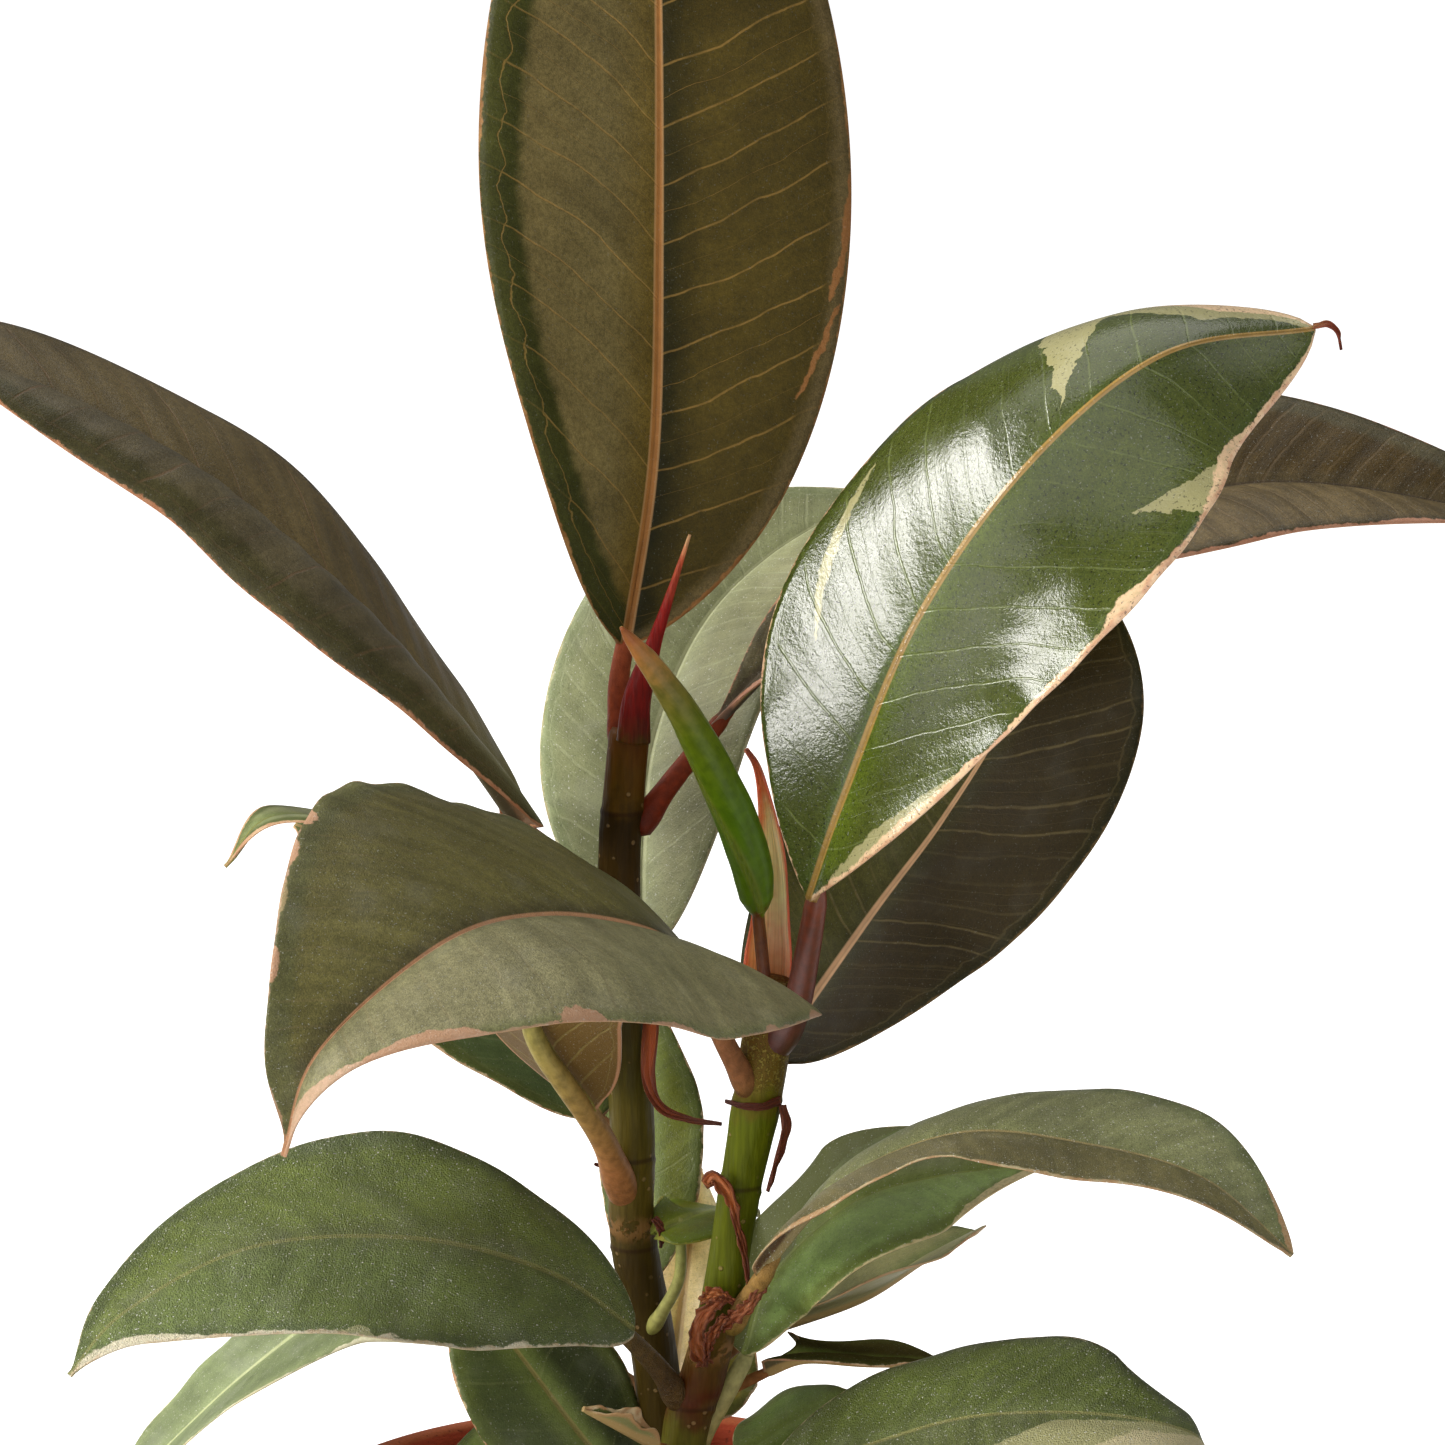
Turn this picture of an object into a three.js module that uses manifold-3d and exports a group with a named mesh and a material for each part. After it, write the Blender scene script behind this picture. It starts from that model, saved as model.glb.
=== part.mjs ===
// A young variegated rubber plant with two stems in a plain terracotta pot.
// Millimetres, +Z up. The origin is the centre of the pot's flat underside.
// Every leaf is one closed blade with its ribbed leaf stalk. Leaf stalks, stipules
// and stems grown from one another keep a hair gap, and the stems stand in plain
// holes in the soil.
import * as THREE from 'three';
import { mergeVertices } from 'three/addons/utils/BufferGeometryUtils.js';
import Module from 'manifold-3d';

// Driving dimensions
const POT_HEIGHT = 106;
const POT_RIM_RADIUS = 60;
const POT_BASE_RADIUS = 41;
const POT_WALL = 4.5;
const POT_FLOOR = 6;
const COLLAR_HEIGHT = 23;
const COLLAR_STEP = 2.5;
const RIM_ROUND = 1.2;
const POT_SIDES = 40;
const SOIL_TOP = 92;
const SOIL_RINGS = 5;
const SOIL_SIDES = 32;
const SOIL_LUMP = 1.1;
const ROOTING_DEPTH = 30;
const GAP = 0.35;
const BLADE_THICKNESS = 0.8;
const RIB_DEPTH = 1.3;
const RIB_TAPER = 0.8;
const STALK_SIDES = 6;
const STALK_STEPS = 4;
const STALK_TAPER = 0.35;
const STALK_REACH = 0.06;
const LARGE_STALK_RADIUS = 2.2;
const SMALL_STALK_RADIUS = 1.3;
const STEM_SIDES = 10;
const STEM_STEP = 5;
const RING_HALF_HEIGHT = 2.2;
const RING_SWELL = 0.45;
const LARGE_BLADE_ROWS = 12;
const SMALL_BLADE_ROWS = 8;
const LARGE_BLADE_WIDTH = 30;
const TIP_HALF_WIDTH = 0.5;
const WAVE_SHIFT = 0.35;
const SPIKE_STEPS = 8;
const STIPULE_STEPS = 6;

// Columns across a blade, from its left margin (-1) over the midrib (0) to its right margin (1).
const LARGE_COLUMNS = [-1, -0.58, -0.08, 0, 0.08, 0.58, 1];
const SMALL_COLUMNS = [-1, -0.16, 0, 0.16, 1];
const STIPULE_COLUMNS = [-1, -0.5, 0, 0.5, 1];

// Stems: the points of the middle line from the hole in the soil upwards, the radius
// from foot to top, and the heights of the ring scars left by shed stipules.
const STEMS = [
  {
    name: 'stem_left',
    path: [
      [12, 11, SOIL_TOP - ROOTING_DEPTH], [10, 12, 102], [9, 12, 122], [7, 11, 139], [4, 9, 157], [4, 8, 176],
      [3, 8, 194], [2, 8, 213], [2, 8, 228], [3, 8, 240], [4, 8, 248],
    ],
    radius: [4.6, 4.4, 4.2, 4.1, 4.0, 3.8, 3.5],
    rings: [150, 163, 172, 202, 232, 244],
  },
  {
    name: 'stem_right',
    path: [
      [12, -6, SOIL_TOP - ROOTING_DEPTH], [13, -5, 107], [14, -5, 124], [17, -6, 135], [20, -8, 149],
      [23, -9, 168], [26, -10, 185], [28, -10, 198], [29, -10, 209],
    ],
    radius: [5.0, 4.9, 4.7, 4.4, 4.5, 4.4, 3.9],
    rings: [129, 160, 174, 186, 199],
  },
];

// Leaves. stalk: middle line from the stem's axis to the blade. spine: middle line of the
// blade from its base to its tip. face: the way the upper side looks, base to tip.
// width: greatest width, measured flat. ends: how fast it narrows at base and tip (a small
// number is blunt). skew below 1 puts the widest place nearer the base. lift and curl:
// degrees each half rises from the midrib and bends by its margin, base to tip, one list
// for both halves or one for each. wave: height, count and phase of the margin's waves.
const LEAVES = [
  {
    name: 'leaf_top',
    stalk: [[2.6, 9, 246], [1.8, 11, 256]],
    spine: [[3, 12, 264], [8, 16, 297], [9, 25, 335], [9, 31, 376], [8, 45, 423]],
    face: [[0, -1, 0.15], [0, -1, 0.3]], width: 69, ends: [0.7, 0.5], skew: 0.96,
    lift: [[40, 2], [6, 9]], curl: [[14, 3], [-22, -32]], wave: [1, 2, 0],
  },
  {
    name: 'leaf_left_high',
    stalk: [[2, 8, 212], [-8, 6, 226]],
    spine: [
      [-15, 3, 234], [-26, -2, 251], [-45, -8, 276],
      [-72, -12, 300], [-104, -16, 317], [-131, -21, 322],
    ],
    face: [[0.2, -0.25, 0.9], [0.1, -0.3, 0.95]], width: 50, ends: [0.25, 0.6], skew: 1,
    lift: [[52, 56], [4, 15]], curl: [[-102, -114], [-18, -25]], wave: [1, 2, 0],
  },
  {
    name: 'leaf_front',
    stalk: [[26, -10, 187], [20, -18, 201]],
    spine: [
      [17, -22, 214], [8, -45, 227], [-9, -69, 236],
      [-25, -91, 237], [-44, -109, 224], [-50, -110, 207],
    ],
    face: [[0.15, -0.25, 0.95], [0.15, -0.3, 0.93], [-0.3, -0.6, 0.35]],
    width: 79, ends: [0.25, 1.48], skew: 0.85,
    lift: [[14, 9, 30, 39], [26, 18, 25, 37]], curl: [[-47, -23, -66, -94], [-16, -30, -24, -39]],
    wave: [1, 2, 0],
  },
  {
    name: 'leaf_left_mid',
    stalk: [[3, 8, 163], [-1, -4, 178]], stalkRadius: 2.6,
    spine: [
      [-3, -8, 185], [-12, -14, 201], [-20, -20, 225],
      [-37, -23, 237], [-56, -29, 243], [-65, -32, 235],
    ],
    face: [[0.3, 0.9, 0.3], [0.2, 0.3, 1], [-0.6, -0.1, 0.8]], width: 52, ends: [0.58, 1.14], skew: 0.96,
    lift: [[3, 7], [30, 1]], curl: [[-28, -27], [-1, -2]], wave: [1, 2, 0],
  },
  {
    name: 'leaf_left_back',
    stalk: [[3, 10, 173], [0, 13, 174]],
    spine: [[-2, 16, 176], [-13, 24, 192], [-33, 34, 214], [-58, 42, 224]],
    face: [[0.2, -0.4, 0.9]], width: 50, ends: [0.55, 0.9], skew: 1,
    lift: [5], curl: [-15], wave: [1, 2, 0],
  },
  {
    name: 'leaf_low_left',
    stalk: [[13, -6, 129], [9, -10, 137]],
    spine: [
      [5, -18, 147], [-10, -28, 161], [-33, -37, 170],
      [-60, -45, 171], [-81, -52, 162], [-91, -57, 152],
    ],
    face: [[0, -0.42, 0.9]], width: 51, ends: [0.64, 1.17], skew: 1.01,
    lift: [[-12, -6, 3], [31, -11, -11]], curl: [[-13, 6, -9], [-20, 21, -22]], wave: [1, 2, 0],
  },
  {
    name: 'leaf_low_left_back',
    stalk: [[8, 14, 123], [5, 18, 123]],
    spine: [[0, 23, 127], [-20, 33, 132], [-45, 40, 134], [-68, 38, 120], [-99, 42, 88]],
    face: [[0, -0.3, 0.9], [-0.4, -0.3, 0.8]], width: 38, ends: [0.54, 0.9], skew: 1.01,
    lift: [[10, 26], [5, 7]], curl: [[-13, 3], [-39, -14]], wave: [1, 2, 0],
  },
  {
    name: 'leaf_low_centre',
    stalk: [[11, 8, 102], [9, 5, 105]],
    spine: [[7, 2, 107], [-3, 3, 117], [-16, 8, 133], [-28, 18, 146]],
    face: [[0.2, -0.8, 0.5]], width: 30, ends: [0.55, 0.9], skew: 1,
    lift: [5], curl: [-15], wave: [1, 2, 0],
  },
  {
    name: 'leaf_shoot',
    stalk: [[13, -5, 118], [11, -9, 121]],
    spine: [[9, -12, 124], [2.1, -17, 128.9], [-4.3, -20, 133]],
    face: [[0, -0.4, 0.9]], width: 6.5, ends: [0.55, 0.9], skew: 1,
    lift: [65], curl: [0.1], wave: [1, 2, 0],
  },
  {
    name: 'leaf_base_left',
    stalk: [[10, 14, 104], [5, 18, 104]],
    spine: [[-2, 22, 106], [-15, 28, 110], [-32, 34, 103]],
    face: [[0, -0.4, 0.9]], width: 26, ends: [0.55, 0.9], skew: 1,
    lift: [5], curl: [-15], wave: [1, 2, 0],
  },
  {
    name: 'leaf_right_high',
    stalk: [[29, -10, 196], [33, -15, 205], [35, -19, 216]], stalkRadius: 2.8,
    spine: [
      [35, -25, 227], [41, -28, 246], [53, -30, 277],
      [71, -36, 305], [94, -34, 324], [121, -19, 326],
    ],
    face: [[-0.35, -0.75, 0.55]], width: 66, ends: [0.89, 0.65], skew: 1.01,
    lift: [[22, -2, -10], [20, -19, -44]], curl: [[-11, -33, -98], [28, 34, 37]], wave: [1, 2, 0],
  },
  {
    name: 'leaf_right_back',
    stalk: [[28, -8, 190], [28, -5, 191]],
    spine: [[29, -1, 192], [47, 8, 216], [60, 12, 233], [72, 19, 252], [83, 42, 276]],
    face: [[-0.2, -0.8, 0.5]], width: 59, ends: [0.46, 0.92], skew: 1.05,
    lift: [[-1, 3], [24, 13]], curl: [[-18, -12], [-7, -8]], wave: [1, 2, 0],
  },
  {
    name: 'leaf_right_far',
    stalk: [[5, 8, 231], [11, 11, 239]],
    spine: [[18, 16, 249], [36, 26, 264], [63, 36, 276], [103, 44, 285], [131, 48, 286], [177, 50, 277]],
    face: [[0, -0.34, 0.94]], width: 52, ends: [2.2, 0.8], skew: 1,
    lift: [[8, 24, 24], [24]], curl: [[-20], [-35]], wave: [1, 2, 0],
  },
  {
    name: 'leaf_back',
    stalk: [[3, 12, 202], [4, 15, 204]],
    spine: [[6, 18, 206], [6, 24, 224], [8, 32, 242], [16, 42, 260], [29, 52, 272], [49, 62, 282]],
    face: [[-0.1, -0.75, 0.65]], width: 46, ends: [0.55, 0.9], skew: 1,
    lift: [[5], [35]], curl: [-15], wave: [1, 2, 0],
  },
  {
    name: 'leaf_between',
    stalk: [[7, 13, 142], [7, 17, 142]],
    spine: [[7, 22, 143], [7, 33, 155], [7, 41, 172], [8, 44, 190]],
    face: [[-0.3, -0.9, 0.3]], width: 21, ends: [0.55, 0.9], skew: 1,
    lift: [5], curl: [-15], wave: [1, 2, 0],
  },
  {
    name: 'leaf_cream',
    stalk: [[10, 16, 118], [11, 20, 121]],
    spine: [[11, 24, 122], [13, 32, 136], [16, 40, 159]],
    face: [[-0.3, -0.9, 0.3]], width: 16, ends: [0.55, 0.9], skew: 1,
    lift: [5], curl: [-15], wave: [1, 2, 0],
  },
  {
    name: 'leaf_small_green',
    stalk: [[7, 10, 138], [8.6, 5, 144], [11.6, 2.6, 151]],
    spine: [[8.4, 5, 158], [15, 8, 160], [19, 21, 157], [22, 34, 153]],
    face: [[0, -0.5, 0.85]], width: 18, ends: [0.25, 0.91], skew: 0.95,
    lift: [[-1], [13]], curl: [[-17], [-9]], wave: [1, 2, 0],
  },
  {
    name: 'leaf_right_arch',
    stalk: [[21, -8, 144], [25, -12, 151]],
    spine: [
      [26, -15, 157], [40, -22, 175], [61, -31, 187],
      [83, -41, 188], [102, -51, 185], [117, -56, 173],
    ],
    face: [[0, 0.05, 1], [0, -0.05, 1], [0, -0.1, 1]], width: 43, ends: [0.67, 0.72], skew: 0.98,
    lift: [[18, 21, 13], [2, 4, 14]], curl: [[-40, -40, 15], [-49, 2, -11]], wave: [1, 2, 0],
  },
  {
    name: 'leaf_right_mid',
    stalk: [[14, -5, 119], [20, -5, 129]],
    spine: [[24, -5, 138], [29, -1, 151], [43, -2, 165], [59, 2, 169], [79, 3, 171]],
    face: [[-0.2, -0.4, 0.9]], width: 35, ends: [0.6, 0.95], skew: 1.02,
    lift: [[6, 8], [6, 18]], curl: [[-17, -16], [-27, -17]], wave: [1, 2, 0],
  },
  {
    name: 'leaf_right_low_back',
    stalk: [[17, -2, 133], [22, 3, 136]],
    spine: [[27, 10, 138], [45, 13, 143], [57, 20, 148], [67, 27, 151]],
    face: [[-0.1, 0.5, 0.85]], width: 30, ends: [0.61, 0.3], skew: 0.98,
    lift: [[27], [1]], curl: [[8], [-12]], wave: [1, 2, 0],
  },
  {
    name: 'leaf_right_edge',
    stalk: [[16, 0, 126], [19, 1, 128]],
    spine: [[28, 3, 133], [35, 1, 136], [46, 7, 133], [63, 12, 130], [72, 16, 123]],
    face: [[0, 0.29, 0.957]], width: 30, ends: [0.64, 0.95], skew: 0.95,
    lift: [[19, 3], [8, 6]], curl: [[10, -5], [-40, -1]], wave: [1, 2, 0],
  },
  {
    name: 'leaf_low_right',
    stalk: [[14, -8, 114], [22, -16, 114]],
    spine: [
      [27, -20, 119], [48, -34, 132], [64, -44, 140],
      [84, -57, 145], [100, -58, 142], [104, -54, 135],
    ],
    face: [[0, -0.42, 0.9]], width: 44, ends: [0.64, 1.11], skew: 0.89,
    lift: [[19, -6], [11, -3]], curl: [[-15, -13], [-11, -5]], wave: [1, 2, 0],
  },
  {
    name: 'leaf_low_right_small',
    stalk: [[14, -2, 111], [16, 0, 112]],
    spine: [[23, 3, 116], [33, 8, 121], [43, 10, 126]],
    face: [[0, -0.5, 0.85]], width: 22, ends: [0.61, 0.81], skew: 1.02,
    lift: [[-11], [4]], curl: [[-33], [-16]], wave: [1, 2, 0],
  },
  {
    name: 'leaf_pale_small',
    stalk: [[15, 4, 115], [16, 10, 115]],
    spine: [[17.4, 16, 118], [21, 23, 124], [26, 28, 129]],
    face: [[0, -0.6, 0.8]], width: 12, ends: [0.55, 0.9], skew: 1,
    lift: [5], curl: [-15], wave: [1, 2, 0],
  },
];

// Thin rolled and papery pieces: middle line, radius from foot to top and sides.
const SPIKES = [
  {
    name: 'stipule_red',
    path: [[4.6, 4.2, 248.6], [5.3, 3.4, 256], [7.6, 2.5, 264.4], [10.8, 2, 274.3], [14.6, 2, 286]],
    radius: [2.3, 2.5, 1.8, 1.2, 0.3],
    finish: 'stipule',
  },
  {
    name: 'leaf_rolled',
    path: [
      [27.6, -11, 209.7], [26.8, -12, 218.3], [25.6, -15, 229.6], [22.8, -18, 239.6], [18.7, -22, 249.8],
      [14.1, -26, 259.6], [9, -30, 268.5], [3.1, -34, 277.2],
    ],
    radius: [1.4, 1.7, 4, 4, 3.6, 3, 2.3, 0.4],
    finish: 'young_leaf',
  },
];

// Open and dried stipules: thin curled strips with a middle line, the way they face,
// a width along it and the degrees they curl round.
const STIPULES = [
  {
    name: 'stipule_open',
    path: [
      [29, -5.2, 206], [29.3, -5.5, 217], [29.4, -6.2, 226.2], [29, -7.2, 233.7], [27.9, -8.6, 241.1],
      [26.4, -10.2, 247.2], [24.4, -11.4, 250.7],
    ],
    face: [[-0.25, -1, 0], [-0.2, -1, 0.1]],
    width: [12, 12.5, 10.4, 7.8, 4.6, 2.4, 0.9], curl: 170, finish: 'stipule',
  },
  {
    name: 'stipule_dry_loop',
    path: [
      [6, 6, 204], [8, 3.2, 197], [7.2, 1.5, 188],
      [9.5, 0.4, 182.5], [14.2, -1, 180.6], [20.2, -3, 180.3],
    ],
    face: [[-1, -0.4, 0], [-0.4, -0.9, 0.3]],
    width: [4, 4, 3, 2, 1.4, 1], curl: 60, finish: 'dry_stipule',
  },
  {
    name: 'stipule_dry_right',
    path: [[30.6, -12, 186.5], [31.1, -13.4, 182], [29.9, -14.2, 177], [28.3, -14.8, 171.5]],
    face: [[1, -0.4, 0], [1, -0.4, 0]],
    width: [4, 4, 2.6, 1], curl: 70, finish: 'dry_stipule',
  },
  {
    name: 'stipule_dry_low',
    path: [[17.5, -11.6, 138.5], [15.8, -12.8, 143], [17, -13.6, 148], [21, -14.6, 152]],
    face: [[0, -1, 0.1], [-0.3, -1, 0.2]],
    width: [7, 8, 6, 2.4], curl: 100, finish: 'dry_stipule',
  },
];

const FINISHES = {
  terracotta: { color: 0xc0603e, roughness: 0.5, metalness: 0 },
  soil: { color: 0x3a2a1e, roughness: 0.95, metalness: 0 },
  bark: { color: 0x6b5a32, roughness: 0.55, metalness: 0 },
  leaf: { color: 0x5a6a40, roughness: 0.35, metalness: 0 },
  young_leaf: { color: 0x86a04a, roughness: 0.35, metalness: 0 },
  stipule: { color: 0xb24a4a, roughness: 0.45, metalness: 0 },
  dry_stipule: { color: 0x5e3a28, roughness: 0.8, metalness: 0 },
};

const wasm = await Module();
wasm.setup();

function vector(p) {
  return new THREE.Vector3(p[0], p[1], p[2]);
}

function curveThrough(points) {
  return new THREE.CatmullRomCurve3(points.map(vector), false, 'catmullrom', 0.5);
}

// A value part of the way (u, 0 to 1) through a short list of evenly spaced values.
function ramp(values, u) {
  const place = u * (values.length - 1);
  const low = Math.min(Math.floor(place), values.length - 1);
  const high = Math.min(low + 1, values.length - 1);
  return values[low] + (values[high] - values[low]) * (place - low);
}

function rampVector(values, u) {
  return new THREE.Vector3(...[0, 1, 2].map((axis) => ramp(values.map((v) => v[axis]), u)));
}

function solidFrom(points, triangles) {
  const mesh = new wasm.Mesh({
    numProp: 3,
    vertProperties: new Float32Array(points.flatMap((p) => [p.x, p.y, p.z])),
    triVerts: new Uint32Array(triangles.flat()),
  });
  return new wasm.Manifold(mesh);
}

function solidFromGeometry(geometry) {
  geometry.deleteAttribute('normal');
  geometry.deleteAttribute('uv');
  const merged = mergeVertices(geometry, 1e-4);
  const vertProperties = new Float32Array(merged.attributes.position.array);
  const triVerts = new Uint32Array(merged.index.array);
  return new wasm.Manifold(new wasm.Mesh({ numProp: 3, vertProperties, triVerts }));
}

// The largest of the separate bodies that a cut can leave.
function mainBody(solid) {
  const bodies = solid.decompose();
  return bodies.reduce((best, body) => (body.volume() > best.volume() ? body : best));
}

function meshFrom(name, solid, finish) {
  const { vertProperties, triVerts } = solid.getMesh();
  const geometry = new THREE.BufferGeometry();
  geometry.setAttribute('position', new THREE.BufferAttribute(new Float32Array(vertProperties), 3));
  geometry.setIndex(new THREE.BufferAttribute(new Uint32Array(triVerts), 1));
  geometry.computeVertexNormals();
  const mesh = new THREE.Mesh(geometry, new THREE.MeshStandardMaterial(FINISHES[finish]));
  mesh.name = name;
  return mesh;
}

// A round rod along a middle line, with flat ends, whose radius is radiusAt(u, point).
function rod(points, radiusAt, sides, steps) {
  const curve = curveThrough(points);
  const centres = curve.getSpacedPoints(steps);
  const frames = curve.computeFrenetFrames(steps, false);
  const ring = [];
  centres.forEach((centre, i) => {
    const radius = radiusAt(i / steps, centre);
    for (let k = 0; k < sides; k += 1) {
      const turn = (2 * Math.PI * k) / sides;
      const point = centre.clone();
      point.addScaledVector(frames.normals[i], radius * Math.cos(turn));
      point.addScaledVector(frames.binormals[i], radius * Math.sin(turn));
      ring.push(point);
    }
  });
  const foot = ring.push(centres[0].clone()) - 1;
  const top = ring.push(centres[steps].clone()) - 1;
  const triangles = [];
  for (let k = 0; k < sides; k += 1) {
    const next = (k + 1) % sides;
    for (let i = 0; i < steps; i += 1) {
      const a = i * sides + k;
      const b = i * sides + next;
      triangles.push([a, b, b + sides], [a, b + sides, a + sides]);
    }
    triangles.push([foot, next, k], [top, steps * sides + k, steps * sides + next]);
  }
  return solidFrom(ring, triangles);
}

// A sheet with a thickness, from a grid of points: rows along it, columns across it.
// Both faces are split into triangles alike. below(row, column) is extra depth underneath.
function sheetSolid(grid, thickness, below) {
  const rows = grid.length;
  const columns = grid[0].length;
  const upper = [];
  const lower = [];
  for (let i = 0; i < rows; i += 1) {
    for (let j = 0; j < columns; j += 1) {
      const across = grid[i][Math.min(j + 1, columns - 1)].clone().sub(grid[i][Math.max(j - 1, 0)]);
      const along = grid[Math.min(i + 1, rows - 1)][j].clone().sub(grid[Math.max(i - 1, 0)][j]);
      const normal = across.cross(along).normalize();
      upper.push(grid[i][j].clone().addScaledVector(normal, thickness / 2));
      lower.push(grid[i][j].clone().addScaledVector(normal, -thickness / 2 - below(i, j)));
    }
  }
  const triangles = [];
  const shift = rows * columns;
  const at = (i, j) => i * columns + j;
  for (let i = 0; i + 1 < rows; i += 1) {
    for (let j = 0; j + 1 < columns; j += 1) {
      const [a, b, c, d] = [at(i, j), at(i, j + 1), at(i + 1, j + 1), at(i + 1, j)];
      triangles.push([a, b, c], [a, c, d]);
      triangles.push([a + shift, c + shift, b + shift], [a + shift, d + shift, c + shift]);
    }
  }
  const side = (a, b) => triangles.push([b, a, a + shift], [b, a + shift, b + shift]);
  for (let j = 0; j + 1 < columns; j += 1) {
    side(at(0, j), at(0, j + 1));
    side(at(rows - 1, j + 1), at(rows - 1, j));
  }
  for (let i = 0; i + 1 < rows; i += 1) {
    side(at(i + 1, 0), at(i, 0));
    side(at(i, columns - 1), at(i + 1, columns - 1));
  }
  return solidFrom([...upper, ...lower], triangles);
}

// The list for one half of a blade, where a leaf gives one list or one for each half.
function halfList(values, half) {
  return Array.isArray(values[0]) ? values[half] : values;
}

// The blade's middle surface: the width follows a sine, and each half is an arc.
function bladeGrid(leaf, rows, columns) {
  const curve = curveThrough(leaf.spine);
  const centres = curve.getSpacedPoints(rows);
  const fullHalf = leaf.width / 2;
  const [waveHeight, waveCount, wavePhase] = leaf.wave;
  return centres.map((centre, i) => {
    const u = i / rows;
    const before = centres[Math.max(i - 1, 0)];
    const along = centres[Math.min(i + 1, rows)].clone().sub(before).normalize();
    const side = along.clone().cross(rampVector(leaf.face, u)).normalize();
    const up = side.clone().cross(along);
    const shape = Math.max(Math.sin(Math.PI * u ** leaf.skew), 0) ** ramp(leaf.ends, u);
    const halfWidth = Math.max(fullHalf * shape, TIP_HALF_WIDTH);
    return columns.map((v) => {
      const half = v > 0 ? 1 : 0;
      const lift = THREE.MathUtils.degToRad(ramp(halfList(leaf.lift, half), u));
      const curl = THREE.MathUtils.degToRad(ramp(halfList(leaf.curl, half), u));
      const turn = (curl * Math.abs(v) * halfWidth) / fullHalf;
      const out = (fullHalf / curl) * (Math.sin(lift + turn) - Math.sin(lift));
      const rise = (-fullHalf / curl) * (Math.cos(lift + turn) - Math.cos(lift));
      const swing = Math.sin(2 * Math.PI * (waveCount * u + wavePhase + WAVE_SHIFT * half));
      const wave = waveHeight * v * v * swing * Math.sin(Math.PI * u);
      const point = centre.clone().addScaledVector(side, Math.sign(v) * out);
      return point.addScaledVector(up, rise + wave);
    });
  });
}

function ribDepth(columns, rows) {
  return (i, j) => (columns[j] === 0 ? RIB_DEPTH * (1 - (RIB_TAPER * i) / rows) : 0);
}

function leafSolid(leaf, stemCutters) {
  const large = leaf.width > LARGE_BLADE_WIDTH;
  const rows = large ? LARGE_BLADE_ROWS : SMALL_BLADE_ROWS;
  const columns = large ? LARGE_COLUMNS : SMALL_COLUMNS;
  const blade = sheetSolid(bladeGrid(leaf, rows, columns), BLADE_THICKNESS, ribDepth(columns, rows));
  const stalkRadius = leaf.stalkRadius ?? (large ? LARGE_STALK_RADIUS : SMALL_STALK_RADIUS);
  const inBlade = curveThrough(leaf.spine).getPointAt(STALK_REACH).toArray();
  const stalkRadiusAt = (u) => stalkRadius * (1 - STALK_TAPER * u);
  const stalk = rod([...leaf.stalk, leaf.spine[0], inBlade], stalkRadiusAt, STALK_SIDES, STALK_STEPS);
  const joined = stemCutters.reduce((solid, cutter) => solid.subtract(cutter), blade.add(stalk));
  return mainBody(joined);
}

// A thin strip that curls across its width, such as an open or dried stipule.
function stipuleSolid(stipule, steps) {
  const curve = curveThrough(stipule.path);
  const grid = curve.getSpacedPoints(steps).map((centre, i) => {
    const u = i / steps;
    const along = curve.getTangentAt(u);
    const side = along.clone().cross(rampVector(stipule.face, u)).normalize();
    const up = side.clone().cross(along);
    const bend = THREE.MathUtils.degToRad(stipule.curl);
    const arc = ramp(stipule.width, u) / bend;
    return STIPULE_COLUMNS.map((v) => {
      const turn = (bend * v) / 2;
      const point = centre.clone().addScaledVector(side, arc * Math.sin(turn));
      return point.addScaledVector(up, arc * (1 - Math.cos(turn)));
    });
  });
  return sheetSolid(grid, BLADE_THICKNESS, () => 0);
}

// A stem's radius at a height, with the low swelling of each ring scar.
function stemRadiusAt(stem, extra) {
  return (u, centre) => {
    const nearRing = stem.rings.some((height) => Math.abs(height - centre.z) < RING_HALF_HEIGHT);
    return ramp(stem.radius, u) + (nearRing ? RING_SWELL : 0) + extra;
  };
}

function stemSteps(stem) {
  return Math.round(curveThrough(stem.path).getLength() / STEM_STEP);
}

function stemSolid(stem, extra) {
  return rod(stem.path, stemRadiusAt(stem, extra), STEM_SIDES, stemSteps(stem));
}

// A stem grown by the gap on all sides and at both ends.
function stemCutter(stem) {
  const [foot, ...rest] = stem.path;
  const top = rest.pop();
  const path = [[foot[0], foot[1], foot[2] - GAP], ...rest, [top[0], top[1], top[2] + GAP]];
  return rod(path, stemRadiusAt(stem, GAP), STEM_SIDES, stemSteps(stem));
}

function lathe(profile, sides) {
  const outline = profile.map(([radius, height]) => new THREE.Vector2(radius, height));
  const geometry = new THREE.LatheGeometry(outline, sides);
  geometry.rotateX(Math.PI / 2);
  return solidFromGeometry(geometry);
}

function innerRadius(height) {
  const share = (height - POT_FLOOR) / (POT_HEIGHT - POT_FLOOR);
  const low = POT_BASE_RADIUS - POT_WALL;
  const high = POT_RIM_RADIUS - POT_WALL - 1;
  return low + (high - low) * share;
}

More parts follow.
